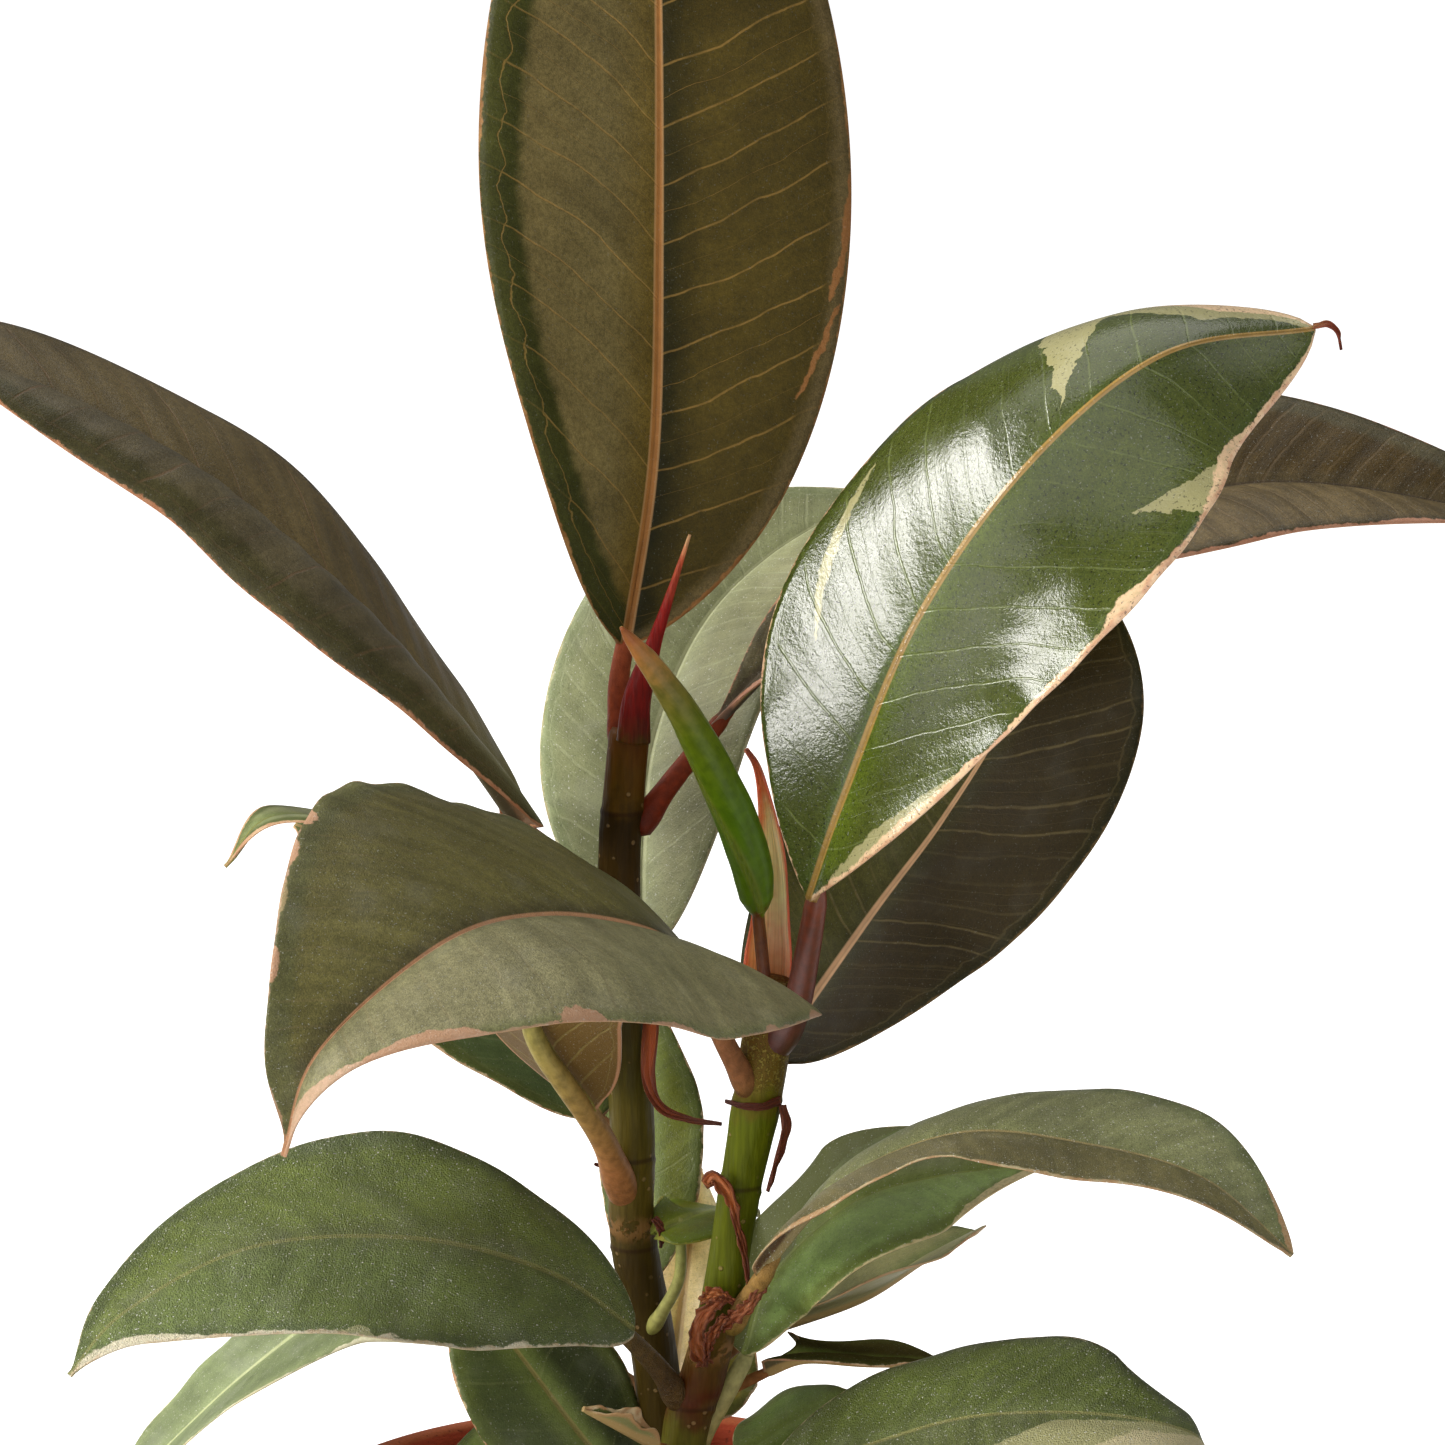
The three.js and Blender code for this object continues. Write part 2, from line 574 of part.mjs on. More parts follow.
// Tapered pot with a plain straight collar round its rim.
function potSolid() {
  const collarFoot = POT_HEIGHT - COLLAR_HEIGHT;
  const collarRadius = POT_RIM_RADIUS - 1;
  return lathe([
    [0, 0],
    [POT_BASE_RADIUS - 1, 0],
    [POT_BASE_RADIUS, 1],
    [collarRadius - COLLAR_STEP, collarFoot],
    [collarRadius, collarFoot + 1],
    [POT_RIM_RADIUS, POT_HEIGHT - RIM_ROUND],
    [POT_RIM_RADIUS - RIM_ROUND, POT_HEIGHT],
    [innerRadius(POT_HEIGHT) + RIM_ROUND, POT_HEIGHT],
    [innerRadius(POT_HEIGHT - RIM_ROUND), POT_HEIGHT - RIM_ROUND],
    [innerRadius(POT_FLOOR), POT_FLOOR],
    [0, POT_FLOOR],
  ], POT_SIDES);
}

// Soil that fills the pot, with a lumpy top and a plain hole for each stem.
function soilSolid(stemCutters) {
  const outer = innerRadius(SOIL_TOP) - GAP;
  const profile = [[0, POT_FLOOR + GAP], [innerRadius(POT_FLOOR) - GAP, POT_FLOOR + GAP], [outer, SOIL_TOP]];
  for (let ring = SOIL_RINGS; ring >= 0; ring -= 1) {
    profile.push([(outer * ring) / (SOIL_RINGS + 0.5), SOIL_TOP]);
  }
  const outline = profile.map(([radius, height]) => new THREE.Vector2(radius, height));
  const geometry = new THREE.LatheGeometry(outline, SOIL_SIDES);
  geometry.rotateX(Math.PI / 2);
  const position = geometry.attributes.position;
  for (let i = 0; i < position.count; i += 1) {
    const [x, y, z] = [position.getX(i), position.getY(i), position.getZ(i)];
    const inside = Math.hypot(x, y) < outer - 1;
    const lump = SOIL_LUMP * (Math.sin(0.31 * x + 1) * Math.cos(0.27 * y) + 0.5 * Math.sin(0.6 * (x + y)));
    position.setZ(i, z > SOIL_TOP - 1 && inside ? z + lump : z);
  }
  return stemCutters.reduce((solid, cutter) => solid.subtract(cutter), solidFromGeometry(geometry));
}

const plant = new THREE.Group();
const stemCutters = STEMS.map(stemCutter);
plant.add(meshFrom('pot', potSolid(), 'terracotta'));
plant.add(meshFrom('soil', soilSolid(stemCutters), 'soil'));
STEMS.forEach((stem) => plant.add(meshFrom(stem.name, stemSolid(stem, 0), 'bark')));
LEAVES.forEach((leaf) => plant.add(meshFrom(leaf.name, leafSolid(leaf, stemCutters), 'leaf')));
SPIKES.forEach((spike) => {
  const solid = rod(spike.path, (u) => ramp(spike.radius, u), STALK_SIDES, SPIKE_STEPS);
  const cut = stemCutters.reduce((body, cutter) => body.subtract(cutter), solid);
  plant.add(meshFrom(spike.name, mainBody(cut), spike.finish));
});
STIPULES.forEach((stipule) => {
  const strip = stipuleSolid(stipule, STIPULE_STEPS);
  const cut = stemCutters.reduce((body, cutter) => body.subtract(cutter), strip);
  plant.add(meshFrom(stipule.name, mainBody(cut), stipule.finish));
});

export default plant;
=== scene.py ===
import math
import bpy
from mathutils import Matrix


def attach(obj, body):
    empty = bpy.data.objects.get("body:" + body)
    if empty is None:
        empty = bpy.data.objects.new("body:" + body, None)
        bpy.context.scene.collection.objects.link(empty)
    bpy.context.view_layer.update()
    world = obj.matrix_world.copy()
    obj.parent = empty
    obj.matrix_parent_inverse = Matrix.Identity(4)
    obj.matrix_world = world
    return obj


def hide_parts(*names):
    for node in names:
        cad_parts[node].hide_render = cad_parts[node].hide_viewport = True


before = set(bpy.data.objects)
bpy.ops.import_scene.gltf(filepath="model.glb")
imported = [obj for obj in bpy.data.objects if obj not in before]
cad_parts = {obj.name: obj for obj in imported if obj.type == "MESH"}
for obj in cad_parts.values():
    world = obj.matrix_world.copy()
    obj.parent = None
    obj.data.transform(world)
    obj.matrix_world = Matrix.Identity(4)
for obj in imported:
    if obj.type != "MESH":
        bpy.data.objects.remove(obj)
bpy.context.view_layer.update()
from types import SimpleNamespace as Record

import bpy
import numpy as np
from mathutils import Matrix, Vector

# A young variegated rubber plant in a terracotta pot. Lengths here are in millimetres in
# the same frame as the solids, and a mesh is turned into metres when it is made. A list is
# spread evenly along a leaf, a stem or a strip, and a tuple of two is for the left and the
# right half of a blade, seen from its upper side with the tip up.

MM = 0.001

# Camera: it looks along +Y and a little down, as the photograph does.
CAMERA_DISTANCE = 1100.0
CAMERA_PITCH = math.radians(13.0)
CAMERA_TARGET = (20.3, 0.0, 252.8)
CAMERA_LENS = 156.2
SENSOR_WIDTH = 36.0

# Sizes that the solids share
POT_HEIGHT = 106.0
POT_RIM_RADIUS = 60.0
POT_NECK_RADIUS = 56.5
POT_BASE_RADIUS = 41.0
POT_WALL = 4.5
POT_FLOOR = 6.0
POT_SPREAD = 0.18
COLLAR_HEIGHT = 23.0
COLLAR_STEP = 2.5
SOIL_TOP = 92.0
SOIL_GAP = 0.35
ROOTING_DEPTH = 30.0
WAVE_HEIGHT, WAVES, WAVE_SHIFT = 1.0, 2.0, 0.35
TIP_HALF_WIDTH = 0.5
RIB_DEPTH = 1.3

# Fineness and relief
BLADE_THICKNESS, MARGIN_THICKNESS = 0.55, 0.28
STRIP_THICKNESS = 0.35
LARGE_ROWS, LARGE_COLUMNS = 120, 26
SMALL_ROWS, SMALL_COLUMNS = 56, 14
LARGE_BLADE_WIDTH = 30
LARGE_STALK, SMALL_STALK = 2.2, 1.3
COLUMN_POWER = 1.45
SMALLEST_CURL = 1e-3
RIB_WIDTH = 1.15
GROOVE_DEPTH = 0.45
QUILT_HEIGHT = 0.2
QUILT_STEP = 8.5
RUFFLE_DRIFT = 0.35
ROLL_WIDTH = 6.0
TONGUE_REACH = 7
STALK_SIDES, STALK_STEPS = 20, 30
STEM_SIDES, STEM_STEPS = 48, 220
STRIP_ROWS, STRIP_COLUMNS, TEAR_KNOTS = 60, 30, 22
POT_SIDES, POT_STEP = 192, 4.0
SOIL_RINGS, SOIL_SIDES, SOIL_CRUMBS = 60, 160, 1500

# Light
FLOOR_REACH = 8.0
FLOOR_LEVEL = -0.2
SKY_STRENGTH, SKY_IN_GLOSS = 0.42, 0.14
FLOOR_GLOW, FLOOR_BOUNCE = 0.6, 0.1
THIN_GLOW = 0.003
LIT_SPOT = (40, -20, 270)
# Name, middle, the middle of one short side, width in metres, power in watts, colour
LIGHTS = [
    ("top_softbox", (-250, 450, 1650), (750, 450, 1650), 1.6, 12.0, (1.0, 0.98, 0.95)),
    ("left_softbox", (-1248, -231, 752), (-800, -1150, 330), 0.3, 30.0, (1.0, 0.98, 0.94)),
    ("front_fill", (500, -1700, 700), (1300, -1450, 700), 1.6, 6.0, (1.0, 1.0, 1.0)),
]

STEMS = [
    Record(
        name="stem_left", radius=[4.6, 4.4, 4.2, 4.1, 4.0, 3.8, 3.6],
        path=[
            [12, 11, SOIL_TOP - ROOTING_DEPTH], [10, 12, 102], [9, 12, 122], [7, 11, 139], [4, 9, 157],
            [4, 8, 176], [3, 8, 194], [2, 8, 213], [2, 8, 228], [3, 8, 240], [4, 7.8, 250],
        ],
        rings=[154, 171, 202, 235], knot=158.0, scurf=400.0,
        bark={
            90: "#3a2e0a", 138: "#3e300a", 150: "#3a2c08", 165: "#544612", 185: "#463e0c", 205: "#382c08",
            222: "#3c2a08", 234: "#302004", 238: "#543a08", 252: "#5a3008",
        },
    ),
    Record(
        name="stem_right", radius=[5.0, 5.0, 4.9, 4.8, 4.6, 4.3, 4.0, 3.7, 3.6, 3.7, 4.2, 4.4, 3.9],
        path=[
            [12, -6, SOIL_TOP - ROOTING_DEPTH], [13, -5, 107], [14, -5, 124], [17, -6, 135], [20, -8, 149],
            [23, -9, 168], [26, -10, 185], [28, -10, 198], [29, -10, 209],
        ],
        rings=[129, 171, 187], knot=140.0, scurf=188.0,
        bark={
            90: "#48460f", 123: "#504c12", 127: "#4a3210", 131: "#461f08", 138: "#4a340c", 144: "#4c3a06",
            152: "#525806", 165: "#4e5404", 184: "#525a06", 190: "#5c4a14", 210: "#5a3a14",
        },
    ),
]

LEAVES = []


def leaf(name, width, stalk, spine, face, blade, **given):
    """Adds a leaf, with the values of PLAIN_LEAF where none are given."""
    shape = {"name": name, "width": width, "stalk": stalk, "spine": spine, "face": face}
    LEAVES.append(Record(blade=blade, **shape, **{**PLAIN_LEAF, **given}))


# Leaves: the same middle lines, widths and bends as the solids. Colours are written as they
# look on a screen. blade, rib and edge are the tints of a half, along its midrib and inside
# its margin, and the numbers ending in mm are how far they reach. slope and bow say how the
# side veins climb; hem is the vein that runs round inside the margin. stalk_skin is the
# colour of the stalk's foot, middle and end. Marks are the pale patches, and on
# leaf_right_mid one painted shadow: colour, half (-1 or 1), where they start and end along
# the blade, reach, lean along the side veins, and for some their middle's distance from the
# margin at both ends.
PLAIN_LEAF = dict(
    ends=[0.55, 0.9], skew=1, lift=[5], curl=[-15], stalk_size=None, rib="#6c7a3c", edge="#56602f",
    stalk_skin=("#5c4418", "#6e4a22", "#8a5a34"), rib_mm=5, rib_fade=0.6, edge_mm=3, vein="#8d9160",
    vein_share=0.25, vein_step=5, vein_mm=0.34, slope=0.6, bow=0, vein_even=0.25, minor=2.6,
    minor_share=0.5, rib_rim=0, rim_colour="#c2ab84", streak=0.1, grit=0.15, glow=0, turn=0, hem_mm=2.4,
    hem=0.4, hem_every=0.5, midrib="#a98f5c", midrib_mm=(1.1, 0.45), midrib_share=0.9, under="#8b8a58",
    cream="#dcc39c", pink="#c28e6c", ash="#a2a57a", margin=0.4, margin_share=0.8, marks=[], seed=1,
    roughness=0.42, peel=0.12, peel_scale=1.1, speck=0.3, dust=0.15, film=0, grain=0.15,
    grain_colour="#2c3312", ruffle=(0.2, 6, 0.2, 6), roll=0, quilt=0.3, specular=0.2, rib_reach=0.05,
    rib_start=0.35, dents=0,
)
# On leaf_top the right half's rib tint, the dark #201e04 within 9.5 mm of the midrib, is a painted shadow
# along the midrib's groove.
leaf(
    "leaf_top", 69, [[2.6, 9, 246], [1.8, 11, 256]], [[3, 12, 264], [8, 16, 297], [9, 25, 335],
    [9, 31, 376], [8, 45, 423]], [[0, -1, 0.15], [0, -1, 0.3]], ("#73653c", "#4b3e14"), ends=[0.7, 0.5],
    skew=0.96, lift=([40, 2], [6, 9]), curl=([14, 3], [-22, -32]), rib=("#65521c", "#201e04"),
    edge=("#33380f", "#6c5c3a"), stalk_skin=("#6a2410", "#84381c", "#964c2c"), rib_mm=(11, 9.5),
    rib_fade=0.7, edge_mm=(8, 3), vein="#a07c40", vein_share=0.5, vein_step=10.2, vein_mm=0.25,
    slope=(1, 0.43), bow=(-0.008, 0.001), vein_even=0.75, minor=2, minor_share=0.85, rib_rim=0.55,
    rim_colour="#b48c5c", streak=0.14, hem_mm=4.6, hem=(0.8, 0.1), hem_every=1, midrib="#a06c38",
    midrib_mm=(1.15, 0.5), under="#807048", cream="#a87a4a", pink="#8e5f34", ash="#6b5a34",
    margin=(0.5, 0.35), margin_share=0.75, marks=[("pink", 1, 66, 84, 1, 0.2, 1.2, 0.3),
    ("pink", 1, 63, 70, 0.9, 0.4, 2.6, 1.6), ("pink", 1, 46, 62, 0.8, 0.3, 5, 0.8),
    ("pink", 1, -4, 26, 1, 0.2)], seed=3, roughness=0.44, peel=0.22, peel_scale=0.8, speck=0.2, dust=0.06,
    grain=0.32, grain_colour="#26260c", ruffle=(0.12, 5, 0.12, 5), roll=(2.6, 0.4), quilt=0.6,
    specular=0.12,
)
leaf(
    "leaf_left_high", 50, [[2, 8, 212], [-8, 6, 226]], [[-15, 3, 234], [-26, -2, 251], [-45, -8, 276],
    [-72, -12, 300], [-104, -16, 317], [-131, -21, 322]], [[0.2, -0.25, 0.9], [0.1, -0.3, 0.95]],
    ("#62583e", "#675835"), ends=[0.25, 0.6], lift=([52, 56], [4, 15]), curl=([-102, -114], [-18, -25]),
    rib=("#6a624e", "#453b28"), edge=("#4a4524", "#4c4430"), stalk_skin=("#5c4418", "#5c2c14", "#8a5534"),
    rib_mm=(4, 3), edge_mm=(6, 1), vein="#7c5a40", vein_share=0.4, vein_step=9.5, slope=(0.55, 0.72),
    streak=0.2, hem_mm=3, hem=(0.3, 0.1), midrib="#5a503a", midrib_share=0.5, under="#82644a",
    cream="#c48a64", pink="#b87852", ash="#8b7c60", margin=(0.45, 0.15), seed=5, roughness=0.36, peel=0.15,
    dust=0.1, grain=0.3, grain_colour="#2f2b18", ruffle=(0.25, 5, 0.15, 4), quilt=0.8, specular=0.3,
)
leaf(
    "leaf_front", 79, [[26, -10, 187], [20, -18, 201]], [[17, -22, 214], [8, -45, 227], [-9, -69, 236],
    [-25, -91, 237], [-44, -109, 224], [-50, -110, 207]],
    [[0.15, -0.25, 0.95], [0.15, -0.3, 0.93], [-0.3, -0.6, 0.35]], ("#85805c", "#696336"),
    ends=[0.25, 1.48], skew=0.85, lift=([14, 9, 30, 39], [26, 18, 25, 37]),
    curl=([-47, -23, -66, -94], [-16, -30, -24, -39]), rib=("#7c7a56", "#544d32"),
    edge=("#74754c", "#5c5c36"), stalk_skin=("#5c4418", "#7c5030", "#8a5a3c"), rib_mm=(7, 5),
    edge_mm=(2, 5), vein="#7a6a48", vein_share=0.22, vein_step=5.5, slope=(0.45, 0.8), bow=(0, 0.004),
    streak=0.17, grit=0.25, hem=(0, 0.15), midrib="#bc8c68", midrib_mm=(1.1, 0.5), under="#8f7752",
    cream="#bc9a80", pink="#ac8466", ash="#94825c", margin=(0.25, 0.3), margin_share=0.7,
    marks=[("pink", -1, 99, 115, 3.4, 0.6), ("pink", -1, 84, 91, 4, 0.3), ("cream", -1, 114, 136, 3, 0.3),
    ("pink", -1, 34, 40, 1.4, 0.5), ("pink", -1, 17, 25, 1.6, 0.4), ("pink", -1, 62, 76, 0.9, 0.4),
    ("pink", 1, 82, 87, 2.2, 0.4), ("pink", 1, 90, 94, 1.5, 0.4), ("ash", 1, 98, 103, 1.6, 0.4),
    ("pink", 1, 107, 112, 1.5, 0.4), ("ash", 1, 46, 56, 1.2, 0.4)], seed=2.4, roughness=0.46, speck=0.15,
    dust=0.25, film=0.04, grain=0.35, grain_colour="#3b3a20", ruffle=(0.2, 5, 0.35, 11), quilt=0.5,
)
leaf(
    "leaf_left_mid", 52, [[3, 8, 163], [-1, -4, 178]], [[-3, -8, 185], [-12, -14, 201], [-20, -20, 225],
    [-37, -23, 237], [-56, -29, 243], [-65, -32, 235]], [[0.3, 0.9, 0.3], [0.2, 0.3, 1], [-0.6, -0.1, 0.8]],
    "#8d9468", ends=[0.58, 1.14], skew=0.96, lift=([3, 7], [30, 1]), curl=([-28, -27], [-1, -2]),
    stalk_size=2.6, stalk_skin=("#8a5a34", "#946238", "#8c8646"), vein="#857845", vein_share=0.4,
    midrib="#7d7a34", under="#5e4824", cream="#d3ac88", pink="#c08c6a", margin=0.8, seed=6, rib_reach=0.25,
)
leaf(
    "leaf_left_back", 50, [[3, 10, 173], [0, 13, 174]], [[-2, 16, 176], [-13, 24, 192], [-33, 34, 214],
    [-58, 42, 224]], [[0.2, -0.4, 0.9]], "#54643a", under="#5d6a2c", margin=0.3, seed=7,
)
leaf(
    "leaf_low_left", 51, [[13, -6, 129], [9, -10, 137]], [[5, -18, 147], [-10, -28, 161], [-33, -37, 170],
    [-60, -45, 171], [-81, -52, 162], [-91, -57, 152]], [[0, -0.42, 0.9]], ("#6a793b", "#6f7d35"),
    ends=[0.64, 1.17], skew=1.01, lift=([-12, -6, 3], [31, -11, -11]), curl=([-13, 6, -9], [-20, 21, -22]),
    rib=("#667238", "#6b7440"), edge=("#5d6a3a", "#5a6634"), stalk_skin=("#5c4418", "#4a3410", "#5e4a1e"),
    rib_mm=6, vein="#75803f", vein_share=0.1, vein_step=7, streak=0.16, grit=1.1, hem=0.1, midrib="#8b8a4e",
    midrib_mm=(0.75, 0.35), midrib_share=0.75, cream="#ddd3b8", pink="#cdb592", ash="#a8a87c",
    margin=(0.5, 0.12), marks=[("cream", -1, 90, 122, 2.4, 0.3), ("ash", -1, 61, 68, 3, 0.5),
    ("cream", -1, 56, 60, 1.6, 0.5), ("cream", -1, 28, 34, 1.3, 0.5), ("cream", -1, 72, 92, 0.8, 0.5)],
    seed=11, peel=0.3, peel_scale=0.9, dust=1, film=0.05, grain=0.35, grain_colour="#3a4520",
    ruffle=(0.2, 5, 0.2, 5), quilt=0.2, specular=0.4, dents=1.5,
)
leaf(
    "leaf_low_left_back", 38, [[8, 14, 123], [5, 18, 123]], [[0, 23, 127], [-20, 33, 132], [-45, 40, 134],
    [-68, 38, 120], [-99, 42, 88]], [[0, -0.3, 0.9], [-0.4, -0.3, 0.8]], "#76815a", ends=[0.54, 0.9],
    skew=1.01, lift=([10, 26], [5, 7]), curl=([-13, 3], [-39, -14]), rib="#8c9869", edge="#869164",
    vein="#a0aa7c", vein_share=0.15, midrib="#b2b986", cream="#dcd6b8", pink="#cfc6a0", margin=(0.3, 0.5),
    marks=[("cream", -1, 30, 60, 2, 0.4)], seed=13, dust=0.5, film=0.08, grain_colour="#7e8c50",
    ruffle=(0.15, 4, 0.4, 9),
)
leaf(
    "leaf_low_centre", 30, [[11, 8, 102], [9, 5, 105]],
    [[7, 2, 107], [-3, 3, 117], [-16, 8, 133], [-28, 18, 146]], [[0.2, -0.8, 0.5]], ("#46502a", "#343c1e"),
    vein_share=0.12, midrib="#7c7340", midrib_mm=(0.7, 0.4), margin=0.25, seed=14, film=0.04,
)
leaf(
    "leaf_shoot", 6.5, [[13, -5, 118], [11, -9, 121]], [[9, -12, 124], [2.1, -17, 128.9], [-4.3, -20, 133]],
    [[0, -0.4, 0.9]], "#7f8a3c", lift=[65], curl=[0.1], pink="#b98a60", margin=1.2, seed=15,
)
leaf(
    "leaf_base_left", 26, [[10, 14, 104], [5, 18, 104]], [[-2, 22, 106], [-15, 28, 110], [-32, 34, 103]],
    [[0, -0.4, 0.9]], "#6b7a3c", seed=16,
)
leaf(
    "leaf_right_high", 66, [[29, -10, 196], [33, -15, 205], [35, -19, 216]], [[35, -25, 227],
    [41, -28, 246], [53, -30, 277], [71, -36, 305], [94, -34, 324], [121, -19, 326]],
    [[-0.35, -0.75, 0.55]], ("#485020", "#50581f"), ends=[0.89, 0.65], skew=1.01,
    lift=([22, -2, -10], [20, -19, -44]), curl=([-11, -33, -98], [28, 34, 37]), stalk_size=2.8,
    rib=("#56682a", "#637520"), edge=("#46521f", "#485420"), stalk_skin=("#3c1206", "#4c1a0a", "#7a3418"),
    rib_mm=(3, 8), rib_fade=0, edge_mm=(2, 3), vein="#8d9a56", vein_share=0.34, vein_step=9.4, vein_mm=0.28,
    slope=(0.45, 0.75), bow=(0, 0.004), minor=3.6, streak=0.06, grit=0.055, turn=0.75, hem_mm=3,
    hem=(0.15, 0.25), midrib="#b08a48", midrib_mm=(0.85, 0.4), under="#8f8a5a", cream="#f0cba2",
    pink="#d8a682", ash="#a8a272", margin=(0.25, 1), margin_share=0.9,
    marks=[("ash", -1, 104, 120, 27, 0.48), ("ash", -1, 108, 156, 13, 0.3),
    ("cream", -1, 120, 152, 7.5, 0.2), ("ash", -1, 42, 66, 1.4, 0, 11, 3), ("ash", 1, 107, 124, 12, 1.7),
    ("cream", 1, 108, 134, 3.6, 0.8), ("cream", 1, 78, 94, 3.4, 0.5), ("ash", 1, 6, 38, 4.8, 0.6),
    ("cream", 1, 8, 40, 2.4, 0.4), ("cream", 1, 40, 92, 1.5, 0.3), ("cream", 1, 122, 156, 1.6, 0.3)],
    seed=21, roughness=0.16, peel=0.13, speck=0.9, dust=0.2, grain=0.45, grain_colour="#38461a",
    ruffle=(0.1, 5, 0.35, 9), quilt=0.22, specular=0.8,
)
leaf(
    "leaf_right_back", 59, [[28, -8, 190], [28, -5, 191]], [[29, -1, 192], [47, 8, 216], [60, 12, 233],
    [72, 19, 252], [83, 42, 276]], [[-0.2, -0.8, 0.5]], ("#565422", "#372c12"), ends=[0.46, 0.92],
    skew=1.05, lift=([-1, 3], [24, 13]), curl=([-18, -12], [-7, -8]), rib=("#4c4a26", "#403d20"),
    edge=("#474a24", "#2f2c14"), stalk_skin=("#6a5c16", "#9a5c2e", "#7c4422"), rib_mm=(8, 6),
    edge_mm=(5, 2), vein="#82724a", vein_share=0.42, slope=0.5, midrib="#d6aa80", midrib_mm=(1, 0.2),
    under="#857650", cream="#7c6038", pink="#6c5430", margin=0.25, seed=23, roughness=0.46, dust=0.08,
    film=0.02, grain=0.3, grain_colour="#26220e",
)
leaf(
    "leaf_right_far", 52, [[5, 8, 231], [11, 11, 239]], [[18, 16, 249], [36, 26, 264], [63, 36, 276],
    [103, 44, 285], [131, 48, 286], [177, 50, 277]], [[0, -0.34, 0.94]], ("#4c3c1c", "#6c5c3c"),
    ends=[1.3, 0.8], lift=([8, 24, 24], [24]), curl=([-20], [-35]), rib=("#5d5138", "#43392a"),
    edge=("#565038", "#4c4430"), stalk_skin=("#5a1c06", "#782808", "#7c3414"), rib_mm=(4, 3),
    edge_mm=(5, 2), vein="#806a4c", vein_share=0.3, slope=(0.6, 0.5), streak=0.3, midrib="#54483a",
    midrib_share=0.6, under="#7d8040", cream="#cc9578", pink="#c08466", margin=(0.2, 1), seed=25,
    roughness=0.34, dust=0.2, grain=0.3, grain_colour="#2c2614", ruffle=(0.15, 4, 0.2, 5), quilt=0.8,
    specular=0.22,
)
leaf(
    "leaf_back", 46, [[3, 12, 202], [4, 15, 204]], [[6, 18, 206], [6, 24, 224], [8, 32, 242], [16, 42, 260],
    [29, 52, 272], [49, 62, 282]], [[-0.1, -0.75, 0.65]], ("#878b64", "#8e8e69"), lift=([5], [35]),
    rib=("#a0a67c", "#9ca078"), edge=("#828a62", "#82845e"), rib_mm=7, vein="#b4b892", vein_share=0.36,
    midrib="#b3b68e", midrib_mm=(1.2, 0.5), under="#a0a07a", cream="#bdb894", pink="#a89a74", ash="#b0b08a",
    margin=0.3, seed=27, roughness=0.5, dust=0.6, film=0.08, grain_colour="#6e7448",
)
leaf(
    "leaf_between", 21, [[7, 13, 142], [7, 17, 142]],
    [[7, 22, 143], [7, 33, 155], [7, 41, 172], [8, 44, 190]], [[-0.3, -0.9, 0.3]], ("#545a1a", "#5d631a"),
    midrib="#8f9150", margin=0.2, seed=29, roughness=0.45,
)
leaf(
    "leaf_cream", 16, [[10, 16, 118], [11, 20, 121]], [[11, 24, 122], [13, 32, 136], [16, 40, 159]],
    [[-0.3, -0.9, 0.3]], ("#d8bc94", "#ecd4b4"), rib=("#b0a060", "#c0ae74"), edge=("#e4c8a0", "#ecd4b4"),
    stalk_skin=("#5c4418", "#7a5a2c", "#8a5a34"), vein_share=0.1, glow=0.7, under="#dcc4a0", seed=31,
)
leaf(
    "leaf_small_green", 18, [[7, 9, 137.5], [9.6, 4.6, 143], [12.6, 3.4, 150]],
    [[8.4, 5, 158], [15, 8, 160], [19, 21, 157], [22, 34, 153]], [[0, -0.5, 0.85]], "#5f6107",
    ends=[0.25, 0.91], skew=0.95, lift=([-1], [13]), curl=([-17], [-9]), rib="#6f7e22", edge="#5e6e1c",
    stalk_skin=("#8a8840", "#a3a05c", "#a0a25a"), vein_share=0.06, hem=0, midrib="#80883a", under="#6f7c24",
    cream="#9a9440", pink="#9a9440", margin=0.15, seed=33, roughness=0.36, ruffle=(0, 3, 0, 3),
    rib_reach=0.3, rib_start=0.75,
)
leaf(
    "leaf_right_arch", 43, [[21, -8, 144], [25, -12, 151]], [[26, -15, 157], [40, -22, 175], [61, -31, 187],
    [83, -41, 188], [102, -51, 185], [117, -56, 173]], [[0, 0.05, 1], [0, -0.05, 1], [0, -0.1, 1]],
    ("#888b60", "#7a7248"), ends=[0.67, 0.72], skew=0.98, lift=([18, 21, 13], [2, 4, 14]),
    curl=([-40, -40, 15], [-49, 2, -11]), rib=("#7c8054", "#746e46"), edge=("#70774e", "#716a46"),
    stalk_skin=("#6a5a1c", "#94723c", "#8a6a36"), vein="#8c8a5c", vein_share=0.16, streak=0.18, grit=0.4,
    midrib="#96865a", midrib_mm=(0.8, 0.4), under="#5d4630", cream="#c4b48c", pink="#b08a62",
    margin=(0.25, 0.5), marks=[("pink", 1, 10, 42, 1.3, 0.3), ("pink", -1, 104, 122, 2, 0.3)], seed=35,
    dust=0.9, film=0.06, grain=0.3, grain_colour="#4e4c2a", ruffle=(0.2, 5, 0.2, 5), dents=0.5,
)
